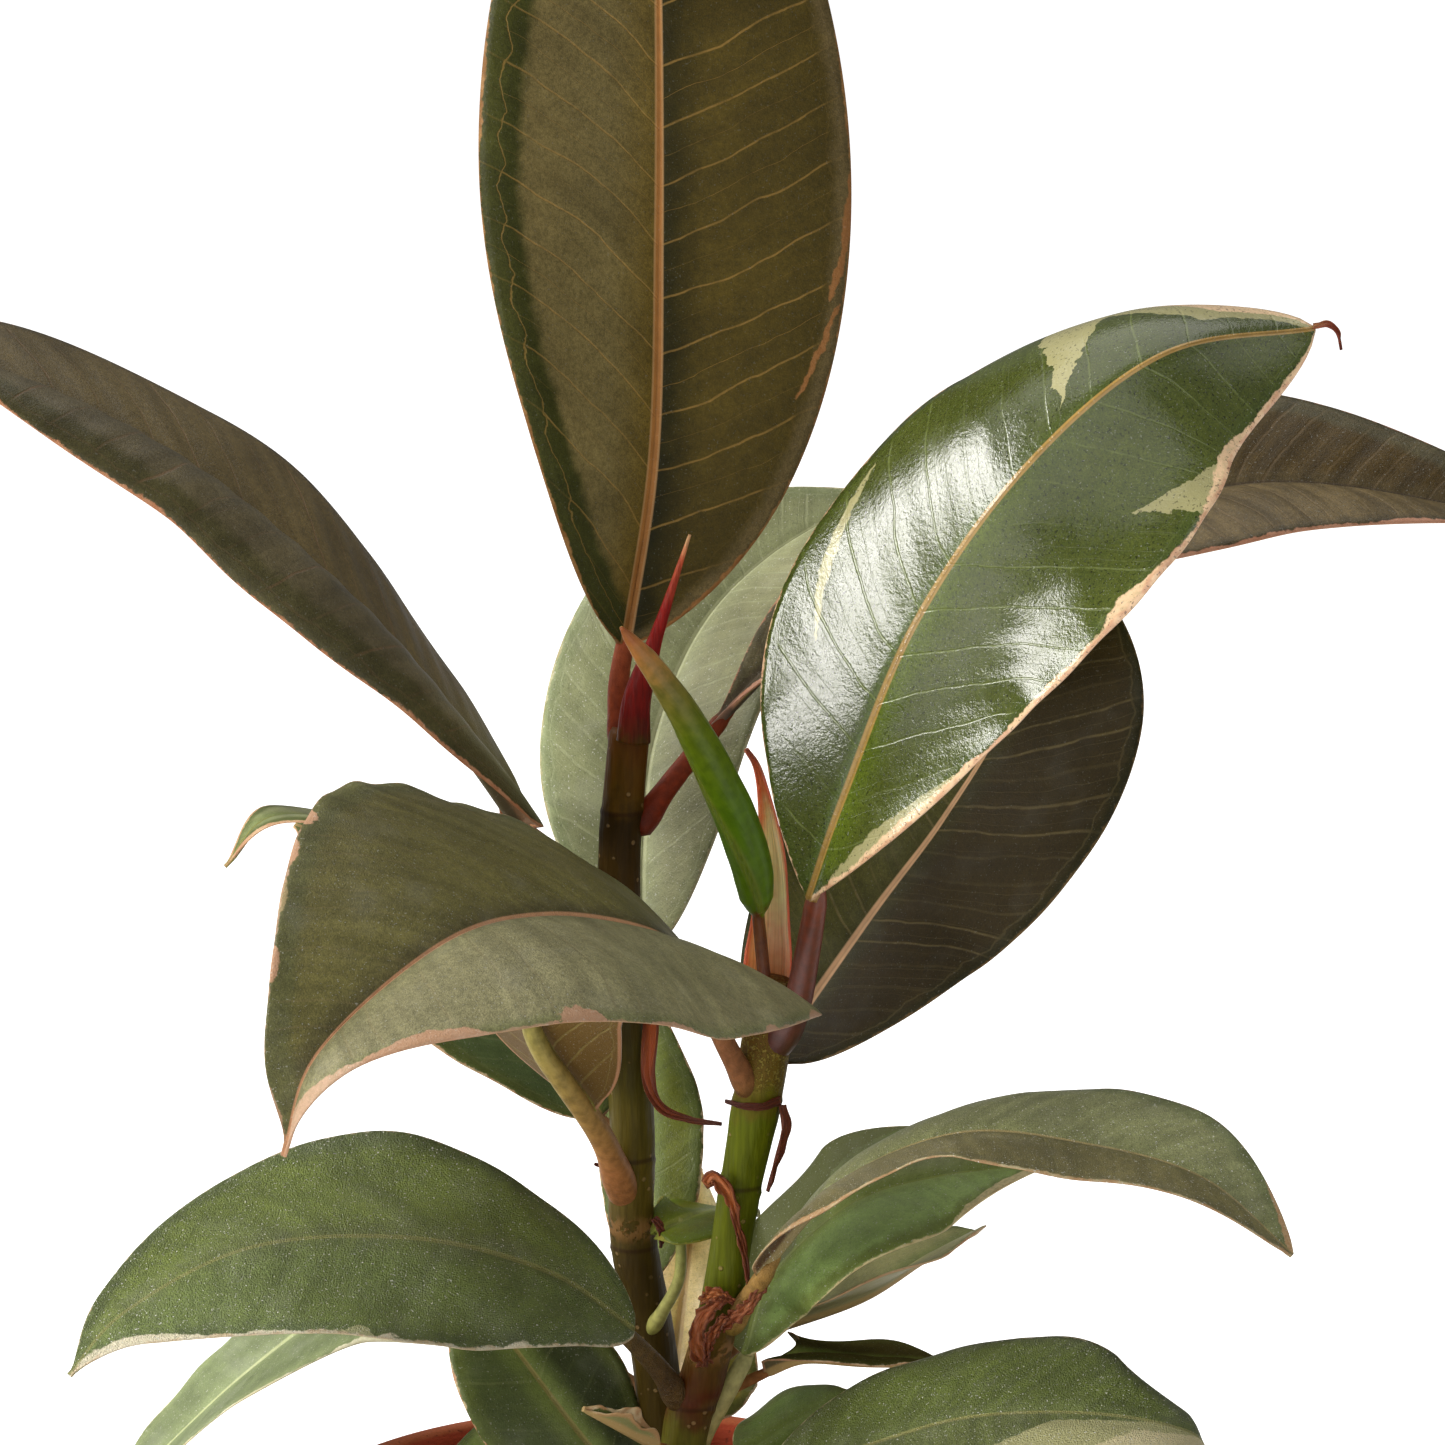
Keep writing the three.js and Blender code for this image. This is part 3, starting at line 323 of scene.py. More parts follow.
# On leaf_right_mid the ash mark on the left half, from -12 to 52 mm along, is a painted shadow over the
# blade's base part; its ash colour #63683c is that shadow's dark green, and it also tints the cream mark's
# blotches a little.
leaf(
    "leaf_right_mid", 35, [[14, -5, 119], [20, -5, 129]], [[24, -5, 138], [29, -1, 151], [43, -2, 165],
    [59, 2, 169], [79, 3, 171]], [[-0.2, -0.4, 0.9]], ("#788052", "#8ea85e"), ends=[0.6, 0.95], skew=1.02,
    lift=([6, 8], [6, 18]), curl=([-17, -16], [-27, -17]), rib="#7a8a44", edge=("#6b7a3a", "#6e7c3c"),
    stalk_skin=("#5c4418", "#8f8450", "#8f8c58"), vein_share=0.08, hem=0, midrib="#84904c",
    midrib_mm=(0.7, 0.35), cream="#d6c696", pink="#c4ac7e", ash="#63683c", margin=(0.15, 0.35),
    marks=[("cream", 1, 50, 78, 2.4, 0.3), ("ash", -1, -12, 52, 15, 0)], seed=37, dust=0.5, film=0.04,
    ruffle=(0.1, 4, 0.15, 4), quilt=0,
)
leaf(
    "leaf_right_low_back", 30, [[17, -2, 133], [22, 3, 136]],
    [[27, 10, 138], [45, 13, 143], [57, 20, 148], [67, 27, 151]], [[-0.1, 0.5, 0.85]],
    ("#8c8a58", "#9c9866"), ends=[0.61, 0.36], skew=0.98, lift=([27], [1]), curl=([8], [-12]),
    edge=("#56602f", "#9c9a6c"), vein_share=0.1, hem=0, under="#969064", margin=(0.2, 0.3), seed=39,
    ruffle=(0.05, 3, 0.05, 3),
)
leaf(
    "leaf_right_edge", 30, [[16, 0, 126], [19, 1, 128]], [[28, 3, 133], [35, 1, 136], [46, 7, 133],
    [63, 12, 130], [72, 16, 123]], [[0, 0.29, 0.957]], ("#4c4626", "#504a28"), ends=[0.64, 0.95], skew=0.95,
    lift=([19, 3], [8, 6]), curl=([10, -5], [-40, -1]), edge="#4a4a26",
    stalk_skin=("#5c4418", "#6a4a2a", "#8a5a34"), vein_share=0.05, hem=0, under="#6d6448",
    margin=(0.1, 0.2), seed=41, roughness=0.7, ruffle=(0, 3, 0, 3), specular=0,
)
leaf(
    "leaf_low_right", 44, [[14, -8, 114], [22, -16, 114]], [[27, -20, 119], [48, -34, 132], [64, -44, 140],
    [84, -57, 145], [100, -58, 142], [104, -54, 135]], [[0, -0.42, 0.9]], ("#5f6c2a", "#5f6834"),
    ends=[0.64, 1.11], skew=0.89, lift=([19, -6], [11, -3]), curl=([-15, -13], [-11, -5]),
    rib=("#65703a", "#6a7440"), stalk_skin=("#5c4418", "#6d4a22", "#8a5a34"), vein="#7c8648",
    vein_share=0.14, streak=0.2, grit=1.1, midrib="#8c8a50", midrib_mm=(0.7, 0.35), cream="#c9bd92",
    pink="#b7a67c", ash="#a3a070", margin=(0.25, 0.5), marks=[("ash", 1, 40, 108, 13, 0.5, 2, 2),
    ("cream", 1, 62, 104, 8, 0.4), ("cream", -1, 92, 106, 2, 0.3)], seed=43, roughness=0.44, peel=0.25,
    dust=0.9, film=0.05, grain=0.3, grain_colour="#38421c", ruffle=(0.15, 5, 0.2, 6), specular=0.4, dents=1,
)
leaf(
    "leaf_low_right_small", 22, [[14, -2, 111], [16, 0, 112]], [[23, 3, 116], [33, 8, 121], [43, 10, 126]],
    [[0, -0.5, 0.85]], "#5c7030", ends=[0.61, 0.81], skew=1.02, lift=([-11], [4]), curl=([-33], [-16]),
    vein_share=0.08, midrib="#5c6a2c", midrib_share=0.5, margin=(0.15, 0.2), seed=45, ruffle=(0, 3, 0, 3),
)
leaf(
    "leaf_pale_small", 12, [[15, 4, 115], [16, 10, 115]], [[17.4, 16, 118], [21, 23, 124], [26, 28, 129]],
    [[0, -0.6, 0.8]], "#c0902c", vein_share=0.08, seed=47,
)

ROLLED_PATH = [
    [27.6, -11, 209.7], [26.8, -12, 218.3], [25.6, -15, 229.6], [22.8, -18, 239.6], [18.7, -22, 249.8],
    [14.1, -26, 259.6], [9, -30, 268.5], [3.1, -34, 277.2],
]
ROLLED_RADIUS = {
    0: 1.2, 0.155: 1.1, 0.172: 2.0, 0.2: 3.0, 0.25: 3.5, 0.33: 3.75, 0.45: 3.7, 0.6: 3.3, 0.75: 2.7,
    0.9: 1.9, 0.97: 1.0, 1: 0.3,
}
ROLLED_BANDS = {
    0: "#5c2c10", 0.15: "#6a3c14", 0.175: "#567408", 0.45: "#4c6a06", 0.68: "#5a6a10", 0.8: "#70682a",
    0.88: "#94703a", 0.95: "#a06838", 1: "#7e4624",
}
SPIKE_PATH = [[4.6, 4.2, 248.6], [5.3, 3.4, 256], [7.6, 2.5, 264.4], [10.8, 2, 274.3], [14.6, 2, 286]]
SPIKE_RADIUS = [2.9, 2.25, 1.2, 0.65, 0.25]
SPIKE_BANDS = {
    0: "#4c3006", 0.06: "#58200a", 0.14: "#640e08", 0.65: "#84140c", 0.85: "#a04428", 1: "#c09468",
}

STRIPS = []


def strip(name, path, face, width, front, back, edge, curl, crumple, seed, **given):
    """Adds a strip of leaf sheath: front, back and edge are its colours."""
    plain = {"solid": True, "slot": "stipule_dry", "tear": 0.0, "band": 0.8, "glow": 0.25}
    shape = {"name": name, "path": path, "face": face, "width": width, "curl": curl, "crumple": crumple}
    STRIPS.append(Record(front=front, back=back, edge=edge, seed=seed, **shape, **{**plain, **given}))


# The fresh sheath round the rolled leaf, and dry ones that hang at the joints
strip(
    "stipule_open", [[29, -5.2, 206], [29.3, -5.5, 217], [29.4, -6.2, 226.2], [29, -7.2, 233.7],
    [27.9, -8.6, 241.1], [26.4, -10.2, 247.2], [24.4, -11.4, 250.7]], [[-0.25, -1, 0], [-0.2, -1, 0.1]],
    [12, 12.5, 10.4, 7.8, 4.6, 2.4, 0.9],
    front={0: "#cc7c5c", 0.2: "#dca486", 0.4: "#ecd2a0", 0.7: "#f0cfa4", 0.85: "#dc8464", 1: "#a8603f"},
    back={0: "#b05a40", 0.4: "#c0705a", 0.8: "#b85a42", 1: "#9c5236"}, edge="#c8503c", curl=170,
    crumple=0.25, seed=2, band=1.3, slot="stipule_fresh", glow=0.7,
)
strip(
    "stipule_dry_loop", [[6, 6, 204], [8, 3.2, 197], [7.2, 1.5, 188], [9.5, 0.4, 182.5], [14.2, -1, 180.6],
    [20.2, -3, 180.3]], [[-1, -0.4, 0], [-0.4, -0.9, 0.3]], [6, 5.6, 3.6, 2.2, 1.2, 0.4],
    front={0: "#a34c1e", 0.5: "#8a3c18", 1: "#5c2812"}, back={0: "#a35424", 1: "#4c200e"}, edge="#4a1e0c",
    curl=60, crumple=0.35, seed=4,
)
strip(
    "stipule_dry_right", [[30.6, -12, 186.5], [31.1, -13.4, 182], [29.9, -14.2, 177], [28.3, -14.8, 171.5]],
    [[1, -0.4, 0], [1, -0.4, 0]], [3, 3, 2.2, 0.9], front={0: "#6c3014", 1: "#5a2610"},
    back={0: "#7c3c1c", 1: "#4c200e"}, edge="#4a1e0c", curl=70, crumple=0.35, seed=6,
)
strip(
    "stipule_dry_low", [[17.5, -11.6, 138.5], [15.8, -12.8, 143], [17, -13.6, 148], [21, -14.6, 152]],
    [[0, -1, 0.1], [-0.3, -1, 0.2]], [3, 4.4, 3.4, 1.4], front={0: "#6c3a1c", 0.6: "#a05c38", 1: "#8a4424"},
    back={0: "#7a4422", 1: "#8c4e2c"}, edge="#4e2410", curl=100, crumple=0.5, seed=8, tear=0.35,
)
strip(
    "sheath_ring", [[20.8, -12.6, 187.4], [23.6, -15.1, 187.3], [27.2, -15.3, 187.2], [30.4, -12.9, 187.6]],
    [[-0.4, -1, 0], [0.5, -1, 0]], [0.5, 1.1, 1.3, 2], front={0: "#4c1e0c", 1: "#6c3014"},
    back={0: "#4c1e0c", 1: "#6c3014"}, edge="#3c160a", curl=40, crumple=0.1, seed=3, solid=False,
)
strip(
    "sheath_ribbon", [[19.6, -12.2, 173.2], [17.6, -13.2, 172.6], [18.8, -14.2, 174.2], [21.4, -14.2, 171],
    [23, -14, 164.5], [24.4, -13.4, 158], [24.9, -13, 152.5]], [[-0.3, -1, 0.4], [0.2, -1, 0.1]],
    [1.8, 2.8, 3, 1.6, 1.6, 1.1, 0.4], front={0: "#bc7044", 0.35: "#b06438", 1: "#6c3016"},
    back={0: "#8a4422", 1: "#5c2812"}, edge="#4a1e0c", curl=120, crumple=0.55, seed=5, tear=0.35,
    solid=False,
)
strip(
    "sheath_scrap_upper", [[16.4, -13, 150.6], [19.4, -14.4, 152.4], [22.2, -14.4, 150.8]],
    [[0, -1, 0.6], [0, -1, 0.5]], [1.8, 3.4, 1], front={0: "#b4703e", 1: "#8a4826"},
    back={0: "#8a4826", 1: "#6c3016"}, edge="#5c2812", curl=150, crumple=0.5, seed=11, tear=0.4,
    solid=False,
)
strip(
    "sheath_scrap_right", [[20, -14.4, 146.6], [24.4, -15, 150], [28.6, -15, 155.6]],
    [[-0.2, -1, 0.3], [0.2, -1, 0]], [2.6, 3.2, 0.6], front={0: "#8a4424", 0.6: "#b0704c", 1: "#7c3a1c"},
    back={0: "#7c3a1c", 1: "#8a4424"}, edge="#54240e", curl=130, crumple=0.6, seed=13, tear=0.4,
    solid=False,
)
strip(
    "sheath_scrap_low", [[21, -15, 148.6], [18.2, -15.6, 144.4], [17.2, -15, 139.4]],
    [[-0.5, -1, 0], [0.1, -1, 0]], [2.4, 2.6, 0.9], front={0: "#9c5a34", 1: "#6c3216"},
    back={0: "#7c3e1e", 1: "#5c2a12"}, edge="#4a1e0c", curl=160, crumple=0.6, seed=17, tear=0.4,
    solid=False,
)
strip(
    "sheath_thread", [[8, 5, 160.4], [9, 4.4, 159], [9.4, 4.2, 157], [9.2, 4.2, 155]],
    [[0.4, -1, 0], [0.4, -1, 0]], [1.2, 1.4, 1, 0.3], front={0: "#7c3a1c", 1: "#4c200e"},
    back={0: "#7c3a1c", 1: "#4c200e"}, edge="#3c160a", curl=60, crumple=0.2, seed=19, solid=False,
)
strip(
    "sheath_thorn", [[2.6, 5, 170.4], [0, 3.4, 170.2], [-2.6, 2.6, 171.2]], [[0, -1, 0.3], [0, -1, 0.3]],
    [1.6, 1, 0.3], front={0: "#7c3a1c", 1: "#5c2812"}, back={0: "#7c3a1c", 1: "#5c2812"}, edge="#4a1e0c",
    curl=60, crumple=0.1, seed=23, solid=False,
)
strip(
    "dry_tip", [[120.6, -19, 326.2], [123, -19.6, 326.6], [124.6, -20, 325.4], [125.3, -20.2, 322.4]],
    [[0, -0.6, 1], [1, -0.4, 0.4]], [1.4, 1.7, 1.2, 0.3],
    front={0: "#b08048", 0.4: "#8a3c20", 1: "#5c2412"}, back={0: "#8a4424", 1: "#5c2412"}, edge="#5c2010",
    curl=70, crumple=0.1, seed=29, solid=False,
)


def ramp(values, u):
    """Values part of the way (0 to 1) through a list of evenly spaced values."""
    table = np.asarray(values, float).reshape(len(values), -1)
    places = np.linspace(0, 1, len(table))
    return np.stack([np.interp(np.ravel(u), places, column) for column in table.T], -1)


def unit(vectors):
    return vectors / np.maximum(np.linalg.norm(vectors, axis=-1, keepdims=True), 1e-9)


def both(value):
    """The values for the left and the right half; one value stands for both."""
    return value if isinstance(value, tuple) else (value, value)


def spline(points, t):
    """Uniform Catmull-Rom curve through the points, for t from 0 to 1."""
    p = np.asarray(points, float)
    p = np.vstack([2 * p[0] - p[1], p, 2 * p[-1] - p[-2]])
    place = np.clip(np.asarray(t, float), 0, 1) * (len(p) - 3)
    i = np.minimum(place.astype(int), len(p) - 4)
    w = (place - i)[:, None]
    before, start, end, after = p[i], p[i + 1], p[i + 2], p[i + 3]
    leave, arrive = (end - before) / 2, (after - start) / 2
    cubic = 2 * start - 2 * end + leave + arrive
    square = -3 * start + 3 * end - 2 * leave - arrive
    return cubic * w**3 + square * w**2 + leave * w + start


def even_points(points, count):
    """count + 1 evenly spaced points on the curve, the share along it of each, and its length."""
    t = np.linspace(0, 1, 601)
    fine = spline(points, t)
    reach = np.concatenate([[0], np.cumsum(np.linalg.norm(np.diff(fine, axis=0), axis=1))])
    centres = spline(points, np.interp(np.linspace(0, reach[-1], count + 1), reach, t))
    return centres, np.linspace(0, 1, count + 1)[:, None], reach[-1]


def smooth_step(value, low, high):
    t = np.clip((value - low) / (high - low), 0, 1)
    return t * t * (3 - 2 * t)


def angles(sides):
    return np.linspace(0, 2 * np.pi, sides, endpoint=False)


def turned(radius, height, sides):
    """A grid of points round the Z axis, from a column of radii (or a grid) and of heights."""
    x, y = radius * np.cos(angles(sides)), radius * np.sin(angles(sides))
    return np.stack([x, y, height + 0 * x], -1)


def grid_faces(rows, columns, first=0, closed=False, flip=False):
    """Quads of a grid of points, rows by columns; closed joins the last column to the first."""
    i, j = np.meshgrid(np.arange(rows - 1), np.arange(columns - 1 + closed), indexing="ij")
    right = (j + 1) % columns
    corners = [i * columns + j, i * columns + right, (i + 1) * columns + right, (i + 1) * columns + j]
    faces = np.stack([c.ravel() for c in corners], -1) + first
    return (faces[:, ::-1] if flip else faces).tolist()


def add_thing(name, data):
    thing = bpy.data.objects.new(name, data)
    bpy.context.collection.objects.link(thing)
    return thing


def make_piece(name, parts, material, solid=True):
    """
    The dressed piece of a node, or of nothing in the solids if solid is False. Each part has
    points, faces and values at the points; a value that a part lacks is 0 there.
    """
    points, faces, values, count = [], [], {}, 0
    total = sum(part[0].size // 3 for part in parts)
    for part_points, part_faces, part_values in parts:
        points.append(part_points.reshape(-1, 3))
        faces += [[k + count for k in face] for face in part_faces]
        end = count + len(points[-1])
        for key, value in part_values.items():
            values.setdefault(key, np.zeros(total, np.float32))[count:end] = np.ravel(value)
        count = end
    mesh = bpy.data.meshes.new(name + "_dressed")
    mesh.from_pydata(np.vstack(points) * MM, [], faces)
    for key, value in values.items():
        mesh.attributes.new(key, "FLOAT", "POINT").data.foreach_set("value", value)
    mesh.shade_smooth()
    mesh.validate()
    mesh.materials.append(material)
    piece = add_thing(name + "_dressed", mesh)
    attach(piece, "root")
    if solid:
        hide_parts(name)


def frames_along(centres):
    """Two directions across a middle line that twist as little as they can."""
    along = unit(np.gradient(centres, axis=0))
    start = np.cross(along[0], (0.0, 1.0, 0.0))
    across = [unit(start if np.linalg.norm(start) > 0.1 else np.cross(along[0], (1.0, 0.0, 0.0)))]
    for direction in along[1:]:
        across.append(unit(across[-1] - direction * np.dot(direction, across[-1])))
    return np.array(across), np.cross(along, across)


def rod(centres, radii, **values):
    """A closed round rod; radii has a row for each centre and a column for each side."""
    rows, sides = radii.shape
    across, up = frames_along(centres)
    turn = angles(sides)[:, None]
    ring = across[:, None] * np.cos(turn) + up[:, None] * np.sin(turn)
    faces = grid_faces(rows, sides, closed=True)
    faces += [range(sides - 1, -1, -1), range((rows - 1) * sides, rows * sides)]
    return centres[:, None] + ring * radii[..., None], faces, values


def strip_frame(path, face, rows):
    """even_points with the directions to the side and up of a strip that faces that way."""
    centres, u, length = even_points(path, rows)
    along = unit(np.gradient(centres, axis=0))
    side = unit(np.cross(along, ramp(face, u)))
    return centres, side, np.cross(side, along), u, length


def beside(centres, side, up, out, rise):
    """Points off a middle line: out to the side and rise up, by row and column."""
    return centres[:, None] + side[:, None] * out[..., None] + up[:, None] * rise[..., None]


def dents(u, v, seed):
    """Slow uneven swells of a blade, from -1 to 1."""
    first = np.sin(7.1 * u + 2.3 * v + seed) * np.cos(3.3 * v - 4.2 * u + 0.7 * seed)
    return 0.6 * first + 0.4 * np.sin(13.0 * u - 5.1 * v + 1.9 * seed)


def blade_surface(leaf, rows, count):
    """The blade's middle surface, each point's place on the leaf, and the direction up."""
    centres, side, up, u, length = strip_frame(leaf.spine, leaf.face, rows)
    even = np.linspace(-1, 1, 2 * count + 1)[None]
    v = np.sign(even) * np.abs(even) ** COLUMN_POWER
    half = v > 0

    def by_half(values):
        """The left or the right of two values or lists, at each point."""
        left, right = [ramp(k, u) if isinstance(k, list) else k for k in both(values)]
        return np.where(half, right, left)

    full_half = leaf.width / 2
    shape = np.clip(np.sin(np.pi * u ** leaf.skew), 0, 1) ** ramp(leaf.ends, u)
    half_width = np.maximum(full_half * shape, TIP_HALF_WIDTH)
    along, across, edge = u * length + 0 * v, np.abs(v) * half_width, (1 - np.abs(v)) * half_width
    lift, curl = np.radians(by_half(leaf.lift)), np.radians(by_half(leaf.curl))
    curl = np.where(np.abs(curl) < SMALLEST_CURL, SMALLEST_CURL, curl)
    turn = lift + curl * across / full_half
    out = full_half / curl * (np.sin(turn) - np.sin(lift))
    rise = -full_half / curl * (np.cos(turn) - np.cos(lift))
    fade = np.sin(np.pi * u)
    wave = WAVE_HEIGHT * v**2 * np.sin(2 * np.pi * (WAVES * u + WAVE_SHIFT * half)) * fade
    left_height, left_waves, right_height, right_waves = leaf.ruffle
    turns = by_half((left_waves, right_waves)) * u + RUFFLE_DRIFT * np.sin(5.1 * u + leaf.seed)
    ruffle = by_half((left_height, right_height)) * np.abs(v) ** 5 * np.sin(2 * np.pi * turns) * fade
    roll = -by_half(leaf.roll) * (1 - smooth_step(edge, 0, ROLL_WIDTH)) ** 2 * fade
    swell = leaf.dents * dents(u, v, leaf.seed) * fade * smooth_step(np.abs(v), 0.05, 0.35)
    phase = (along - by_half(leaf.slope) * across - by_half(leaf.bow) * across**2) / QUILT_STEP
    quilt = -QUILT_HEIGHT * leaf.quilt * np.cos(2 * np.pi * phase) * smooth_step(across, 1, 5) * fade
    quilt = quilt * (1 - smooth_step(np.abs(v), 0.7, 0.95))
    groove = -GROOVE_DEPTH * np.exp(-((across / RIB_WIDTH) ** 2)) * (1 - 0.7 * u)
    height = rise + wave + ruffle + quilt + roll + swell + groove
    points = beside(centres, side, up, np.sign(v) * out, height)
    place = {"u": u + 0 * v, "v": v + 0 * u, "along": along, "across": np.sign(v) * across, "edge": edge}
    return points, place, up


def sheet(points, thickness, below, place):
    """A closed sheet round a grid of points, thickness and extra depth underneath in mm."""
    rows, columns = points.shape[:2]
    normal = unit(np.cross(np.gradient(points, axis=1), np.gradient(points, axis=0)))
    upper = points + normal * (thickness / 2)[..., None]
    lower = points - normal * (thickness / 2 + below)[..., None]
    size = rows * columns
    faces = grid_faces(rows, columns) + grid_faces(rows, columns, first=size, flip=True)
    number = np.arange(size).reshape(rows, columns)
    rim = [*number[0], *number[1:, -1], *number[-1, -2::-1], *number[-2:0:-1, 0]]
    faces += [(int(b), int(a), int(a) + size, int(b) + size) for a, b in zip(rim, rim[1:] + rim[:1])]
    values = {key: np.tile(value.ravel(), 2) for key, value in place.items()}
    return np.stack([upper, lower]), faces, {**values, "under": np.repeat([0.0, 1.0], size)}


def leaf_stalk(leaf, up):
    """The leaf stalk: a swollen foot, and its end under the blade, where it becomes the midrib."""
    size = leaf.stalk_size or (LARGE_STALK if leaf.width > LARGE_BLADE_WIDTH else SMALL_STALK)
    places = np.linspace(leaf.rib_start, 1.0, 3) * leaf.rib_reach
    rib = spline(leaf.spine, places) - up[np.round(places * (len(up) - 1)).astype(int)] * size * 0.75
    centres, u, length = even_points(leaf.stalk + rib.tolist(), STALK_STEPS)
    radius = size * (1 - 0.35 * u) * (1 + 0.22 * np.exp(-((u - 0.12) / 0.1) ** 2))
    radius *= np.clip((1 - u) * length / (2.2 * size), 0.02, 1) ** 0.5
    radius[0] *= 0.6
    ridges = 1 + 0.03 * np.cos(3 * angles(STALK_SIDES) + leaf.seed)
    return rod(centres, radius * ridges, stalk=1.0, u=np.repeat(u, STALK_SIDES))


def make_leaf(leaf):
    large = leaf.width > LARGE_BLADE_WIDTH
    rows, count = (LARGE_ROWS, LARGE_COLUMNS) if large else (SMALL_ROWS, SMALL_COLUMNS)
    points, place, up = blade_surface(leaf, rows, count)
    thickness = MARGIN_THICKNESS + (BLADE_THICKNESS - MARGIN_THICKNESS) * smooth_step(place["edge"], 0, 1.2)
    rib = RIB_DEPTH * (1 - 0.8 * place["u"]) * np.exp(-((place["across"] / RIB_WIDTH) ** 2))
    parts = [sheet(points, thickness, rib, place), leaf_stalk(leaf, up)]
    make_piece(leaf.name, parts, leaf_material(leaf))


def make_stem(stem):
    centres, u, _ = even_points(stem.path, STEM_STEPS)
    turn = angles(STEM_SIDES)
    wide = ramp(stem.radius, u) + 0 * turn
    for k, ring in enumerate(stem.rings):
        near = centres[:, 2:] - ring - 0.9 * np.sin(turn + 1.9 * k)
        wide += 0.22 * np.exp(-((near / 0.6) ** 2)) + 0.12 * np.exp(-(((near + 3) / 2.5) ** 2))
    wide *= 1 + 0.02 * np.sin(3 * turn + 7 * u) + 0.012 * np.sin(5 * turn - 23 * u)
    wide[-3:] *= np.array([1.0, 0.96, 0.85])[:, None]
    make_piece(stem.name, [rod(centres, wide)], stem_material(stem))


def make_rolled_leaf():
    """A leaf still rolled up: a round rod with the free edge winding along it."""
    centres, u, _ = even_points(ROLLED_PATH, 150)
    turn = np.linspace(0, 1, 64, endpoint=False)
    saw = np.mod(turn + 0.55 * u + 0.62, 1.0)
    size = np.interp(u, list(ROLLED_RADIUS), list(ROLLED_RADIUS.values()))
    radius = size * (0.97 + 0.05 * saw + 0.008 * np.sin(40 * u + 6 * turn))
    seam = np.maximum(np.exp(-((saw - 0.02) / 0.02) ** 2), np.exp(-((saw - 0.985) / 0.018) ** 2))
    rolled = rod(centres, radius, u=u + 0 * turn, v=saw, seam=seam * (size > 2))
    make_piece("leaf_rolled", [rolled], rolled_leaf_material())


def make_strip(strip):
    """A curled strip of leaf sheath, as the solids make it."""
    centres, side, up, u, _ = strip_frame(strip.path, strip.face, STRIP_ROWS)
    v = np.linspace(-1, 1, STRIP_COLUMNS + 1)[None]
    chance, knots = np.random.default_rng(int(strip.seed)), np.linspace(0, 1, TEAR_KNOTS)
    torn = [np.interp(u, knots, chance.uniform(-1.6, 1.0, TEAR_KNOTS)) for _ in range(2)]
    frayed = 1 + 0.1 * np.sin(9 * u + strip.seed) * np.abs(v) ** 2
    frayed = frayed + strip.tear * np.where(v < 0, *torn) * np.abs(v) ** 3
    wide = ramp(strip.width, u) * frayed
    bend = math.radians(strip.curl)
    turn, arc = bend * v / 2, wide / bend
    crumple = strip.crumple * np.sin(7 * u + 3 * v + strip.seed) * np.sin(4 * v + 11 * u)
    crumple = crumple + 0.6 * strip.tear * np.sin(26 * u - 5 * v) * np.sin(6 * v + 4 * u)
    rise = arc * (1 - np.cos(turn)) + crumple
    points = beside(centres, side, up, arc * np.sin(turn), rise)
    place = {"u": u + 0 * v, "v": v + 0 * u, "edge": (1 - np.abs(v)) * wide / 2}
    parts = [sheet(points, STRIP_THICKNESS + 0 * rise, 0 * rise, place)]
    make_piece(strip.name, parts, strip_material(strip), strip.solid)


def make_spike():
    """The red sheath that still closes the tip of the left stem."""
    centres, u, _ = even_points(SPIKE_PATH, 80)
    turn = angles(32)
    radius = ramp(SPIKE_RADIUS, u) * (1 + 0.05 * np.cos(2 * turn) + 0.03 * np.sin(5 * turn + 9 * u))
    make_piece("stipule_red", [rod(centres, radius, u=u + 0 * turn)], spike_material())


def inner_radius(height):
    """Radius of the pot's inside at a height."""
    return POT_BASE_RADIUS - POT_WALL + POT_SPREAD * (height - POT_FLOOR)


def rounded_profile(corners, steps):
    """A profile with each corner (x, z, rounding) turned into a small arc."""
    points = []
    for k, (x, z, rounding) in enumerate(corners):
        here = np.array([x, z], float)
        if rounding == 0:
            points.append(here)
            continue
        before, after = [unit(np.array(corners[k + n][:2], float) - here) for n in (-1, 1)]
        for t in np.linspace(0, 1, steps):
            points.append(here + before * rounding * (1 - t) ** 2 + after * rounding * t**2)
    return points


